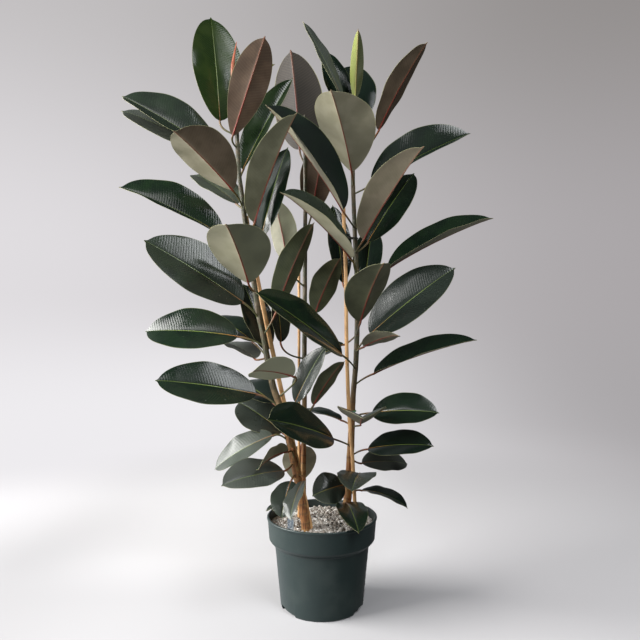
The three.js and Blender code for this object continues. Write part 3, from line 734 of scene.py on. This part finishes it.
golden = (1 + math.sqrt(5)) / 2
corners = [
    (-1, golden, 0), (1, golden, 0), (-1, -golden, 0), (1, -golden, 0),
    (0, -1, golden), (0, 1, golden), (0, -1, -golden), (0, 1, -golden),
    (golden, 0, -1), (golden, 0, 1), (-golden, 0, -1), (-golden, 0, 1),
]
sides = [
    (0, 11, 5), (0, 5, 1), (0, 1, 7), (0, 7, 10), (0, 10, 11), (1, 5, 9), (5, 11, 4),
    (11, 10, 2), (10, 7, 6), (7, 1, 8), (3, 9, 4), (3, 4, 2), (3, 2, 6), (3, 6, 8),
    (3, 8, 9), (4, 9, 5), (2, 4, 11), (6, 2, 10), (8, 6, 7), (9, 8, 1),
]
halves = {}
ball = [np.array(corner) / np.linalg.norm(corner) for corner in corners]


def halfway(first, second):
    """The point of the ball between two of its points."""
    key = (min(first, second), max(first, second))
    if key not in halves:
        point = ball[first] + ball[second]
        halves[key] = len(ball)
        ball.append(point / np.linalg.norm(point))
    return halves[key]


fine = []
for a, b, c in sides:
    ab, bc, ca = halfway(a, b), halfway(b, c), halfway(c, a)
    fine += [(a, ab, ca), (b, bc, ab), (c, ca, bc), (ab, bc, ca)]
ball = np.array(ball)

standing = [
    (at_height(path, CLEARANCE_HEIGHT)[0][:2], STEM_CLEARANCE) for path in STEMS.values()
]
standing += [
    (at_height(path, CLEARANCE_HEIGHT)[0][:2], path[0][3] + CANE_CLEARANCE)
    for path in cane_paths.values()
]
standing.append((np.array(STAKE_PLACE), STAKE_CLEARANCE))
for grain in range(GRAIN_COUNT):
    size = rng.choice(GRAIN_SIZES, p=GRAIN_SHARES)
    size *= rng.uniform(0.85, 1.15)
    reach = (GRAIN_RADIUS - size) * math.sqrt((grain + 0.5) / GRAIN_COUNT)
    angle = grain * GRAIN_TURN + rng.normal(0, GRAIN_TURN_SPREAD)
    middle = np.array((reach * math.cos(angle), reach * math.sin(angle)))
    if any(np.linalg.norm(middle - at) < clear + size * 0.6 for at, clear in standing):
        continue
    level = BED_TOP + rng.uniform(-0.2, 0.9) * GRAIN_LAYER
    waves = np.sin(ball @ rng.normal(0, 2.2, (3, 4)) + rng.uniform(0, 6, 4)).sum(1)
    bumps = 1 + GRAIN_BUMPS * waves / 2
    stretch = rng.uniform(*GRAIN_STRETCH, 3)
    spin, _ = np.linalg.qr(rng.normal(0, 1, (3, 3)))
    spin[:, 0] *= np.sign(np.linalg.det(spin))
    shape = (ball * bumps[:, None] * stretch) @ spin * size
    shape += (*middle, level)
    start = len(points)
    points += shape.tolist()
    faces += [tuple(start + at for at in face) for face in fine]
    tone = float(np.clip(rng.normal(GRAIN_TONE, GRAIN_TONE_SPREAD), 0.0, 1.0))
    tones += [tone] * len(shape)
substrate = piece("grit_fill", points, faces, [grit], sharp=55)
mark(substrate, "tone", tones)
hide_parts("substrate")


# TIES
# Two soft ties hold the right stem to its cane: a dark wire twist high up, and a turn of green
# tape lower down.
TIES = {"tie_upper": (0.905, paint(62, 58, 54)), "tie_lower": (0.464, paint(74, 136, 90))}
TIE_HALF_HEIGHT = 0.002
TIE_LINE_OFFSET = 0.0017
TIE_STEPS = 64
# The cut through a tie: metres out from its line, and shares of its half height.
TIE_CUT = [(-0.0008, -0.8), (-0.0003, -1), (0.0003, -1), (0.0008, -0.8)]
TIE_CUT += [(0.0008, 0.8), (0.0003, 1), (-0.0003, 1), (-0.0008, 0.8)]


def round_both(height, offset):
    """A closed line round the right stem and its cane, drawn tight at this height."""
    stem_middle, stem_radius = at_height(STEMS["right"], height)
    cane_middle, cane_radius = at_height(cane_paths["right"], height)
    turn = full_turn(TIE_STEPS)
    outward = np.stack([np.cos(turn), np.sin(turn)], 1)
    on_stem = outward @ stem_middle[:2] + stem_radius > outward @ cane_middle[:2] + cane_radius
    middle = np.where(on_stem[:, None], stem_middle[:2], cane_middle[:2])
    radius = np.where(on_stem, stem_radius, cane_radius)
    return middle + outward * (radius + offset)[:, None], outward


for name, (height, colour) in TIES.items():
    tie_band, tree, shader = material(f"{name}_band", 0.5, colour)
    grain = use(tree, patches, Place=place(tree), Per_Metre=500.0, Detail=3.0)[0]
    pale = (*(min(1.0, part * 1.5) for part in colour[:3]), 1.0)
    finish(tree, shader, mixed(tree, grain, colour, pale))
    points = [
        (*(at + outward * out), height + up * TIE_HALF_HEIGHT)
        for at, outward in zip(*round_both(height, TIE_LINE_OFFSET))
        for out, up in TIE_CUT
    ]
    size = len(TIE_CUT)
    faces = []
    for here in range(0, len(points), size):
        there = (here + size) % len(points)
        for corner in range(size):
            beside = (corner + 1) % size
            faces.append((here + corner, there + corner, there + beside, here + beside))
    tie = piece(f"{name}_loop", points, faces, [tie_band])
    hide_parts(name)


# LABEL STAKE
# A blank plant label, a thin strip of clear bluish plastic with a rounded head and a pointed
# foot, pushed into the mix at the left front.
STAKE_HALF_WIDTH, STAKE_THICKNESS = 0.0075, 0.0012
STAKE_BOTTOM, STAKE_TOP = 0.160, 0.231
STAKE_TURN = math.radians(-12)
STAKE_CORNER, STAKE_CORNER_STEPS = 0.003, 8
STAKE_POINT_HALF_WIDTH, STAKE_POINT_HEIGHT = 0.0012, 0.014

clear_plastic, tree, shader = material("clear_blue_plastic", 0.18, paint(170, 192, 210), Alpha=0.5)
haze = use(tree, patches, Place=place(tree), Per_Metre=130.0, Detail=4.0)[0]
finish(tree, shader, mixed(tree, haze, paint(112, 132, 150), paint(144, 158, 170)))

shoulder = STAKE_BOTTOM + STAKE_POINT_HEIGHT
outline = [(-STAKE_POINT_HALF_WIDTH, STAKE_BOTTOM), (STAKE_POINT_HALF_WIDTH, STAKE_BOTTOM)]
outline.append((STAKE_HALF_WIDTH, shoulder))
corner_middle = STAKE_HALF_WIDTH - STAKE_CORNER
for side, quarter in ((1, 0), (-1, 1)):
    for step in range(STAKE_CORNER_STEPS + 1):
        turn = math.pi / 2 * (quarter + step / STAKE_CORNER_STEPS)
        across = side * corner_middle + STAKE_CORNER * math.cos(turn)
        outline.append((across, STAKE_TOP - STAKE_CORNER + STAKE_CORNER * math.sin(turn)))
outline.append((-STAKE_HALF_WIDTH, shoulder))
turned_cos, turned_sin = math.cos(STAKE_TURN), math.sin(STAKE_TURN)
rings = [
    [
        (
            STAKE_PLACE[0] + across * turned_cos - depth * turned_sin,
            STAKE_PLACE[1] + across * turned_sin + depth * turned_cos,
            up,
        )
        for across, up in outline
    ]
    for depth in (STAKE_THICKNESS / 2, -STAKE_THICKNESS / 2)
]
stake = piece("label_strip", *skin(rings), [clear_plastic])
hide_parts("label_stake")


# LEAVES
# Thick leathery leaves, each on a round stalk that runs on as the midrib. The upper side is dark
# green and glossy over fine side veins; the underside is matt khaki with a red midrib.
STALK_RADIUS = 0.0026
STALK_STEPS, STALK_SIDES = 12, 10
STALK_BEND, STALK_SWELL, ROOT_FLARE = 0.45, 0.28, 0.35
RIB_WIDTH, RIB_FOOT_FLARE, RIB_TAPER = 0.45, 0.4, 0.27
BLADE_THICKNESS, RIM_THINNING = 0.0009, 0.45
BLADE_ROWS, ROW_EVENNESS = 44, 0.45
BLUNT_END, OVAL_POWER = 0.972, 0.52
DRIP_TIP_WIDTH, DRIP_TIP_RUN_IN, DRIP_TIP_END, LEAST_WIDTH = 0.11, 0.02, 0.008, 0.012
DROOP_START, DROOPS = 0.84, (0.001, 0.0035)
RIM_WAVE, RIM_RIPPLE, CUP_DEPTH = 0.0015, 0.0007, 0.0034
BULGE, YOUNG_BULGE_LOSS = 0.10, 0.6
GROOVE_DEPTH, GROOVE_WIDTH = 0.0007, 0.0022
RIB_SHARES = np.array([0.03, 0.08, 0.15, 0.24, 0.34, 0.45, 0.56, 0.67, 0.78, 0.88, 0.95])
RIB_CLEARANCE = 0.00035
HALVES_BLEND = 0.002
VEIN_SLANT, VEIN_CURVE, VEIN_WANDER = -0.38, -2.2, 0.0045
SIDE_VEIN_SPACING, FINE_VEIN_SPACING = 0.0066, 0.0022
SIDE_VEIN_NARROWNESS, FINE_VEIN_NARROWNESS = 5.0, 2.0
# The lines along a blade: shares of its half width, on one side of the rib and on the other.
LANES = [0, 0.018, 0.045, 0.09, 0.16, 0.26, 0.38, 0.51, 0.64, 0.76, 0.86, 0.93, 0.975, 1]
lanes = np.array([-lane for lane in LANES[:0:-1]] + LANES)[None]
off_middle = np.abs(lanes)
UPPER, UNDER, STALK = 0, 1, 2


def unit(vector):
    """The vector at a length of one."""
    return vector / np.linalg.norm(vector)


def turned(vector, axis, angle):
    """The vector turned about an axis that it stands square to."""
    return vector * math.cos(angle) + np.cross(axis, vector) * math.sin(angle)


def leaf_axes(leaf):
    """The ways along a leaf, out of its upper side and across it, and the length of its blade."""
    way = np.array(leaf.tip) - leaf.base
    along = unit(way)
    upper = unit(np.array((0, 0, 1.0)) - along * along[2])
    side = np.cross(along, upper)
    facing = -1 if side[1] - 0.2 * side[0] > 0 else 1
    upper = turned(upper, along, facing * math.radians(leaf.roll))
    return along, upper, np.cross(along, upper), np.linalg.norm(way)


def blade_outline(share, broadest):
    """How wide a blade is along its length: a blunt oval that ends in a small drip tip."""
    moved = np.clip(share / BLUNT_END, 0, 1) ** (math.log(0.5) / math.log(broadest))
    oval = np.sin(math.pi * moved) ** OVAL_POWER
    drip_tip = DRIP_TIP_WIDTH * (1 - share) / (1 - BLUNT_END + DRIP_TIP_RUN_IN) + DRIP_TIP_END
    outline = np.maximum(oval, np.minimum(drip_tip, DRIP_TIP_WIDTH) * (share > 0.5))
    return np.maximum(outline, LEAST_WIDTH)


def blade_rise(leaf, share, outline, half, rng):
    """How far a blade's points stand above the straight line from its base to its tip."""
    ripple_start, cup_start, _, _ = rng.uniform(0, 2 * math.pi, 4)
    droop = rng.uniform(*DROOPS)
    wave = RIM_WAVE * off_middle**2 * np.sin(4 * math.pi * share + lanes) * outline
    ripple = np.sin(7 * share * math.pi + ripple_start + lanes * 1.3)
    wave += RIM_RIPPLE * off_middle**2.5 * outline * ripple
    cup = np.sin(3 * share * math.pi + cup_start + lanes * 2) * off_middle * (1 - off_middle)
    wave += CUP_DEPTH * outline * cup
    bulge = BULGE * half * (1 - off_middle) * (1 - leaf.youth * YOUNG_BULGE_LOSS)
    rise = leaf.arch * 4 * share * (1 - share) + half * math.sin(math.radians(leaf.fold))
    rise = rise + wave + bulge
    rise -= droop * np.clip((share - DROOP_START) / (1 - DROOP_START), 0, 1) ** 2
    groove = np.exp(-((half / GROOVE_WIDTH) ** 2)) * np.sin(math.pi * share) ** 0.3
    return rise - GROOVE_DEPTH * groove


def leaf_shape(stem, leaf, rng):
    """Points, faces, kinds of face and marks of one leaf: its blade, and its stalk and rib."""
    along, upper, across, length = leaf_axes(leaf)
    share = np.linspace(0, 1, BLADE_ROWS)[:, None]
    crowded = (1 - np.cos(math.pi * share)) / 2
    share = ROW_EVENNESS * share + (1 - ROW_EVENNESS) * crowded
    outline = blade_outline(share, leaf.broadest)
    half = leaf.width / 2 * outline * off_middle
    rise = blade_rise(leaf, share, outline, half, rng)
    sideways = np.sign(lanes) * half
    top = (
        np.array(leaf.base)
        + along * (length * share)[..., None]
        + across * (sideways * math.cos(math.radians(leaf.fold)))[..., None]
        + upper * rise[..., None]
    )
    thickness = BLADE_THICKNESS * (1 - RIM_THINNING * off_middle**6)
    bottom = top - upper * thickness[..., None]
    points = top.reshape(-1, 3).tolist() + bottom.reshape(-1, 3).tolist()

    rows, columns = half.shape
    count = rows * columns
    faces, kinds = [], []
    for row in range(rows - 1):
        for a in range(row * columns, row * columns + columns - 1):
            square = (a, a + 1, a + columns + 1, a + columns)
            faces += [square, tuple(at + count for at in square[::-1])]
            kinds += [UPPER, UNDER]
    border = list(range(columns))
    border += range(2 * columns - 1, count, columns)
    border += range(count - 2, count - columns - 1, -1)
    border += range(count - 2 * columns, 0, -columns)
    for a, b in zip(border, border[1:] + border[:1]):
        faces.append((a + count, b + count, b, a))
        kinds.append(UNDER)

    root, _ = at_height(STEMS[stem], leaf.joint)
    end = np.array(leaf.base) - upper * STALK_RADIUS
    reach = np.linalg.norm(root - end)
    bend = end - along * STALK_BEND * reach
    go = np.linspace(0, 1, STALK_STEPS)
    ahead = go[:, None]
    stalk = (1 - ahead) ** 2 * root + 2 * ahead * (1 - ahead) * bend + ahead**2 * end
    stalk_radii = STALK_RADIUS * (1 - STALK_SWELL * (1 - go)) * (1 + ROOT_FLARE * np.exp(-go * 9))
    rib_radii = RIB_WIDTH + RIB_FOOT_FLARE * np.exp(-RIB_SHARES * 12)
    rib_radii = STALK_RADIUS * (rib_radii - RIB_TAPER * RIB_SHARES**0.7)
    spine = top[:, columns // 2].T
    middle = np.stack([np.interp(RIB_SHARES, share[:, 0], part) for part in spine], 1)
    rib = middle - upper * (rib_radii + RIB_CLEARANCE)[:, None]
    radii = np.concatenate([stalk_radii, rib_radii])
    tube, tube_faces = skin(rings_along(np.vstack([stalk, rib]), radii, STALK_SIDES))
    faces += [tuple(len(points) + at for at in face) for face in tube_faces]
    kinds += [STALK] * len(tube_faces)
    points += tube

    steps = np.concatenate([-reach * (1 - go), RIB_SHARES * length])
    steps = np.append(np.repeat(steps, STALK_SIDES), (steps[0], steps[-1]))
    blade_along = np.broadcast_to(length * share, half.shape).ravel()
    blade_edge = np.broadcast_to(off_middle, half.shape).ravel()
    on_tube, everywhere = np.zeros(len(tube)), np.ones(len(points))
    from_base = np.concatenate([blade_along, blade_along, steps])
    from_rib = np.concatenate([sideways.ravel(), sideways.ravel(), on_tube])
    # Each half of the blade gets its own tint; where they differ, the darker half is partly
    # painted shade.
    on_first = 1 / (1 + np.exp(np.clip(from_rib / HALVES_BLEND, -30, 30)))
    first, second = leaf.halves
    marks = {
        "along": from_base,
        "across": from_rib,
        "edge": np.concatenate([blade_edge, blade_edge, on_tube]),
        "youth": leaf.youth * everywhere,
        "share": np.clip(from_base / length, 0, 1),
        "tint_and_shade": second + (first - second) * on_first + rng.uniform(-0.1, 0.1),
        "tone": rng.uniform(0, 1) * everywhere,
        "dust": leaf.dust * everywhere,
    }
    return points, faces, kinds, marks


veining, read, given = effect(
    "veining", {"Along": 0.0, "Across": 0.0}, ["Side Veins", "Fine Veins", "From Rib"]
)
off_rib = sum_of(veining, "ABSOLUTE", read["Across"])
slanted = sum_of(veining, "MULTIPLY_ADD", off_rib, VEIN_SLANT, read["Along"])
off_rib_squared = sum_of(veining, "MULTIPLY", off_rib, off_rib)
curved = sum_of(veining, "MULTIPLY_ADD", off_rib_squared, VEIN_CURVE, slanted)
flat_place = add(veining, "ShaderNodeCombineXYZ", X=curved, Y=read["Across"]).outputs[0]
wander = add(veining, "ShaderNodeTexNoise", Vector=flat_place, Scale=45.0, Detail=2.0)
veined = sum_of(veining, "MULTIPLY_ADD", wander.outputs[0], VEIN_WANDER, curved)
for label, spacing, narrowness in (
    ("Side Veins", SIDE_VEIN_SPACING, SIDE_VEIN_NARROWNESS),
    ("Fine Veins", FINE_VEIN_SPACING, FINE_VEIN_NARROWNESS),
):
    turn = sum_of(veining, "MULTIPLY", veined, 2 * math.pi / spacing)
    ridge = sum_of(veining, "MULTIPLY_ADD", sum_of(veining, "COSINE", turn), 0.5, 0.5)
    feed(veining, given[label], sum_of(veining, "POWER", ridge, narrowness))
feed(veining, given["From Rib"], off_rib)


def leaf_ground(tree):
    """What both sides of a blade read: its veins, its slow patches and its own place in them."""
    veins = use(tree, veining, Along=marked(tree, "along"), Across=marked(tree, "across"))
    shift = sum_of(tree, "MULTIPLY", marked(tree, "tone"), 7.0)
    shift = add(tree, "ShaderNodeCombineXYZ", X=shift).outputs[0]
    shifted = add(tree, "ShaderNodeVectorMath", {"operation": "ADD"}, Vector=place(tree))
    feed(tree, shifted.inputs[1], shift)
    spot = shifted.outputs[0]
    slow = use(tree, patches, Place=spot, Per_Metre=26.0, Detail=3.0)[0]
    return veins, slow, spot


leaf_upper, tree, shader = material("leaf_upper", 0.24, paint(20, 32, 22))
veins, slow, spot = leaf_ground(tree)
youth = marked(tree, "youth")
old = mixed(tree, slow, paint(17, 29, 20), paint(24, 40, 24))
old = mixed(tree, marked(tree, "tone"), old, paint(19, 29, 25))
fresh = mixed(tree, slow, paint(104, 138, 44), paint(132, 160, 60))
blade = mixed(tree, youth, old, fresh)
pale_vein = mixed(tree, youth, paint(44, 62, 40), paint(160, 182, 92))
blade = washed(tree, veins["Side Veins"], 0.12, blade, pale_vein)
near_stalk = ranged(tree, marked(tree, "along"), 0.0, 0.09)
rib_colour = mixed(tree, near_stalk, paint(160, 104, 50), paint(112, 130, 60))
fading = ranged(tree, marked(tree, "share"), 0.45, 1.0, 0.85, 0.25)
on_rib = ranged(tree, veins["From Rib"], 0.0013, 0.0006)
blade = washed(tree, on_rib, fading, blade, rib_colour)
# A pale line along the rim: partly the leaf's pale margin, partly a painted highlight where the
# edge catches light.
rim = ranged(tree, marked(tree, "edge"), 0.972, 0.992)
blade = washed(tree, rim, 0.6, blade, paint(112, 120, 78))
grit_specks = use(tree, specks, Place=spot, Per_Metre=120.0, Share=0.03, Size=0.12)[0]
blade = washed(tree, grit_specks, 0.7, blade, paint(206, 206, 198))
film = use(tree, patches, Place=spot, Per_Metre=9.0, Detail=5.0, From=0.35, To=0.75)[0]
# The dust mark greys the upper side: partly real dust, partly painted sheen where a leaf catches
# the sky.
dust = sum_of(tree, "MULTIPLY", marked(tree, "dust"), ranged(tree, film, 0, 1, 0.75, 1))
blade = mixed(tree, dust, blade, paint(104, 108, 101))
polish = ranged(tree, film, 0.0, 1.0, 0.12, 0.26)
finish(tree, shader, blade, sum_of(tree, "MULTIPLY_ADD", dust, 0.5, polish))
sunk_veins = sum_of(tree, "MULTIPLY", veins["Side Veins"], -0.6)
quilting = sum_of(tree, "MULTIPLY_ADD", veins["Fine Veins"], 0.2, sunk_veins)
relief(tree, shader, quilting, 0.00022)

leaf_under, tree, shader = material("leaf_underside", 0.62, paint(140, 134, 110))
veins, slow, spot = leaf_ground(tree)
# The tint mark is partly the underside's own colour and partly painted shade: the dark brown, the
# olive and a darker half stand for shade on halves in shadow.
tint_and_shade = marked(tree, "tint_and_shade")
to_olive = ranged(tree, tint_and_shade, 0.0, -1.0)
khaki = mixed(tree, slow, paint(136, 131, 108), paint(152, 146, 124))
brown = mixed(tree, slow, paint(72, 54, 39), paint(88, 68, 51))
olive = mixed(tree, slow, paint(62, 68, 46), paint(78, 84, 58))
blade = mixed(tree, ranged(tree, tint_and_shade, 0.0, 1.0), khaki, brown)
# Near-black brown for the darkest tints: painted shade on a half in shadow.
blade = mixed(tree, ranged(tree, tint_and_shade, 1.1, 2.0), blade, paint(38, 31, 23))
blade = mixed(tree, to_olive, blade, olive)
# On a young leaf the olive tint paints the shaded half darker than the lit yellow-green half.
young = mixed(tree, to_olive, paint(124, 136, 26), paint(54, 60, 22))
blade = mixed(tree, marked(tree, "youth"), blade, young)
# The dust mark lightens the underside: partly real dust, partly painted light.
blade = mixed(tree, marked(tree, "dust"), blade, paint(182, 184, 156))
pale_vein = mixed(tree, 0.5, blade, paint(170, 160, 124))
blade = washed(tree, veins["Side Veins"], 0.09, blade, pale_vein)
flecks = use(tree, specks, Place=spot, Per_Metre=260.0, Share=0.06, Size=0.2)[0]
blade = washed(tree, flecks, 0.35, blade, paint(84, 70, 50))
near_rib = ranged(tree, veins["From Rib"], 0.0035, 0.001)
blade = washed(tree, near_rib, 0.45, blade, paint(140, 84, 60))
# A pale line along the rim: partly the leaf's pale margin, partly a painted highlight where the
# edge catches light.
rim = ranged(tree, marked(tree, "edge"), 0.972, 0.992)
blade = washed(tree, rim, 0.6, blade, paint(172, 170, 124))
finish(tree, shader, blade)
relief(tree, shader, veins["Side Veins"], 0.00003)

leaf_stalk, tree, shader = material("leaf_stalk", 0.42, paint(150, 66, 46))
along = marked(tree, "along")
warm = mixed(tree, marked(tree, "tone"), paint(84, 82, 46), paint(138, 78, 44))
green = mixed(tree, ranged(tree, along, -0.05, -0.004), paint(78, 80, 46), warm)
red = ranged(tree, marked(tree, "share"), 0.3, 0.9)
red = mixed(tree, red, paint(134, 42, 34), paint(104, 72, 52))
rib = mixed(tree, ranged(tree, along, -0.01, 0.014), green, red)
rib = mixed(tree, marked(tree, "youth"), rib, paint(158, 162, 80))
flecks = use(tree, specks, Place=place(tree), Per_Metre=700.0, Share=0.1, Size=0.3)[0]
finish(tree, shader, mixed(tree, flecks, rib, paint(168, 140, 96)))

rng = np.random.default_rng(23)
for stem, leaves in LEAVES.items():
    joints = sorted({leaf.joint for leaf in leaves}, reverse=True)
    for number, joint in enumerate(joints, 1):
        grown = [leaf for leaf in leaves if leaf.joint == joint]
        points, faces, kinds, marks = [], [], [], {}
        for leaf in grown:
            more, more_faces, more_kinds, more_marks = leaf_shape(stem, leaf, rng)
            faces += [tuple(at + len(points) for at in face) for face in more_faces]
            points += more
            kinds += more_kinds
            for label, values in more_marks.items():
                marks[label] = np.append(marks.get(label, []), values)
        name = f"{'_pair' if len(grown) > 1 else ''}_{stem}_{number:02d}"
        finishes = [leaf_upper, leaf_under, leaf_stalk]
        blades = piece(f"blade{name}", points, faces, finishes, kinds, sharp=60)
        for label, values in marks.items():
            mark(blades, label, values)
        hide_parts(f"leaf{name}")


# STAGE
# A pale floor that curves up into a wall on every side. Near the plant the floor's colour holds
# painted light and shade, darker to the left and in front and lighter behind and to the right;
# further out the floor and wall glow with painted light, brighter on the left and dimmer higher
# up. A wide soft lamp stands on the left, two weaker ones in front, and the sky is brightest on
# the left.
FLOOR_REACH = 2.7
WALL_REACH = 4.2
WALL_HEIGHT = 4.6
COVE_STEPS, COVE_COLUMNS = 24, 128
BEND_RADIUS = WALL_REACH - FLOOR_REACH
cove_outline = []
for step in range(COVE_STEPS + 1):
    turn = math.pi / 2 * step / COVE_STEPS
    out, up = math.sin(turn), 1 - math.cos(turn)
    cove_outline.append((FLOOR_REACH + BEND_RADIUS * out, BEND_RADIUS * up))
cove_outline.append((WALL_REACH, WALL_HEIGHT))
turn = full_turn(COVE_COLUMNS)
points, faces = skin(np.stack([level_ring(radius, level, turn) for radius, level in cove_outline]))
points, faces = points[:-1], faces[:-COVE_COLUMNS]

cove_painted_light, tree, shader = material(
    "cove_painted_light", 0.9, paint(236, 235, 238), Emission_Strength=1.0, Specular_IOR_Level=0.0
)
spot = place(tree)
where = add(tree, "ShaderNodeSeparateXYZ", Vector=spot).outputs
reach = add(tree, "ShaderNodeVectorMath", {"operation": "LENGTH"}, Vector=spot).outputs["Value"]
black = paint(0, 0, 0)
# Painted light in the glow: the floor and wall glow brighter on the left and dimmer higher up, as
# the lamp's light falls off.
floor_side = ranged(tree, where["X"], -0.9, 2.2)
ground = mixed(tree, floor_side, paint(238, 236, 239), paint(170, 167, 169))
from_left = ranged(tree, where["X"], -2.7, 2.7)
low = mixed(tree, from_left, paint(224, 221, 224), paint(170, 166, 168))
high = mixed(tree, from_left, paint(194, 191, 192), paint(146, 142, 141))
backdrop = mixed(tree, ranged(tree, where["Z"], 0.0, 0.9), ground, low)
backdrop = mixed(tree, ranged(tree, where["Z"], 1.2, 3.5), backdrop, high)
# Painted light and shade in the floor's own colour near the plant: darker to the left and in
# front, lighter behind and to the right.
behind = ranged(tree, where["Y"], 0.0, 0.3)
behind = mixed(tree, behind, paint(186, 185, 187), paint(211, 210, 212))
behind = mixed(tree, ranged(tree, where["Y"], 0.3, 1.0), behind, paint(220, 219, 221))
beside = ranged(tree, where["Y"], 0.2, 1.0)
beside = mixed(tree, beside, paint(166, 165, 167), paint(202, 201, 203))
near = mixed(tree, ranged(tree, where["X"], -0.9, -0.35), beside, behind)
near = mixed(tree, ranged(tree, where["X"], 0.1, 0.45), near, paint(208, 206, 208))
# Further out the colour fades to black and the painted glow takes its place.
far = ranged(tree, reach, 0.9, 2.1)
finish(tree, shader, mixed(tree, far, near, black))
feed(tree, shader.inputs["Emission Color"], mixed(tree, far, black, backdrop))

mesh = bpy.data.meshes.new("cove")
mesh.from_pydata(points, [], [face[::-1] for face in faces])
mesh.materials.append(cove_painted_light)
mesh.shade_smooth()
cove = bpy.data.objects.new("cove", mesh)
scene.collection.objects.link(cove)
cove.visible_diffuse = False
cove.visible_glossy = False
cove.visible_shadow = False

# For each lamp: where it stands, where it aims, its width and height, its power and its colour.
LIGHTS = {
    "window_light": ((-2.85, -0.45, 1.65), (0.0, 0.1, 0.7), (2.6, 1.8), 262.0, (1.0, 0.99, 0.97)),
    "side_light": ((-1.5, -2.1, 2.45), (0.0, 0.1, 0.7), (0.9, 0.9), 10.0, (1.0, 0.99, 0.98)),
    "front_light": ((1.1, -2.1, 3.1), (0.0, 0.1, 0.8), (1.1, 2.4), 80.0, (0.96, 0.98, 1.0)),
}
for name, (stand, aim, size, power, colour) in LIGHTS.items():
    lamp = bpy.data.lights.new(name, "AREA")
    lamp.shape = "RECTANGLE"
    lamp.size, lamp.size_y = size
    lamp.energy = power
    lamp.color = colour
    light = bpy.data.objects.new(name, lamp)
    light.location = stand
    way = np.array(aim) - stand
    tilt = math.atan2(math.hypot(way[0], way[1]), -way[2])
    light.rotation_euler = (tilt, 0, math.atan2(way[1], way[0]) - math.pi / 2)
    light.visible_camera = False
    scene.collection.objects.link(light)

sky = bpy.data.worlds.new("sky")
sky.use_nodes = True
tree = sky.node_tree
way = add(tree, "ShaderNodeTexCoord").outputs["Generated"]
way = add(tree, "ShaderNodeSeparateXYZ", Vector=way).outputs
from_left = ranged(tree, way["X"], 0.7, -0.9, 0.03, 0.62)
less_above = ranged(tree, way["Z"], 0.3, 0.85, 1.0, 0.12)
from_below = ranged(tree, way["Z"], 0.0, -0.9, 0.0, 0.27)
less_right = ranged(tree, way["X"], 0.8, -0.5, 0.3, 1.0)
from_floor = sum_of(tree, "MULTIPLY", from_below, less_right)
strength = sum_of(tree, "MULTIPLY_ADD", from_left, less_above, from_floor)
sky_shader = tree.nodes["Background"]
feed(tree, sky_shader.inputs["Color"], paint(250, 252, 255))
feed(tree, sky_shader.inputs["Strength"], strength)
scene.world = sky
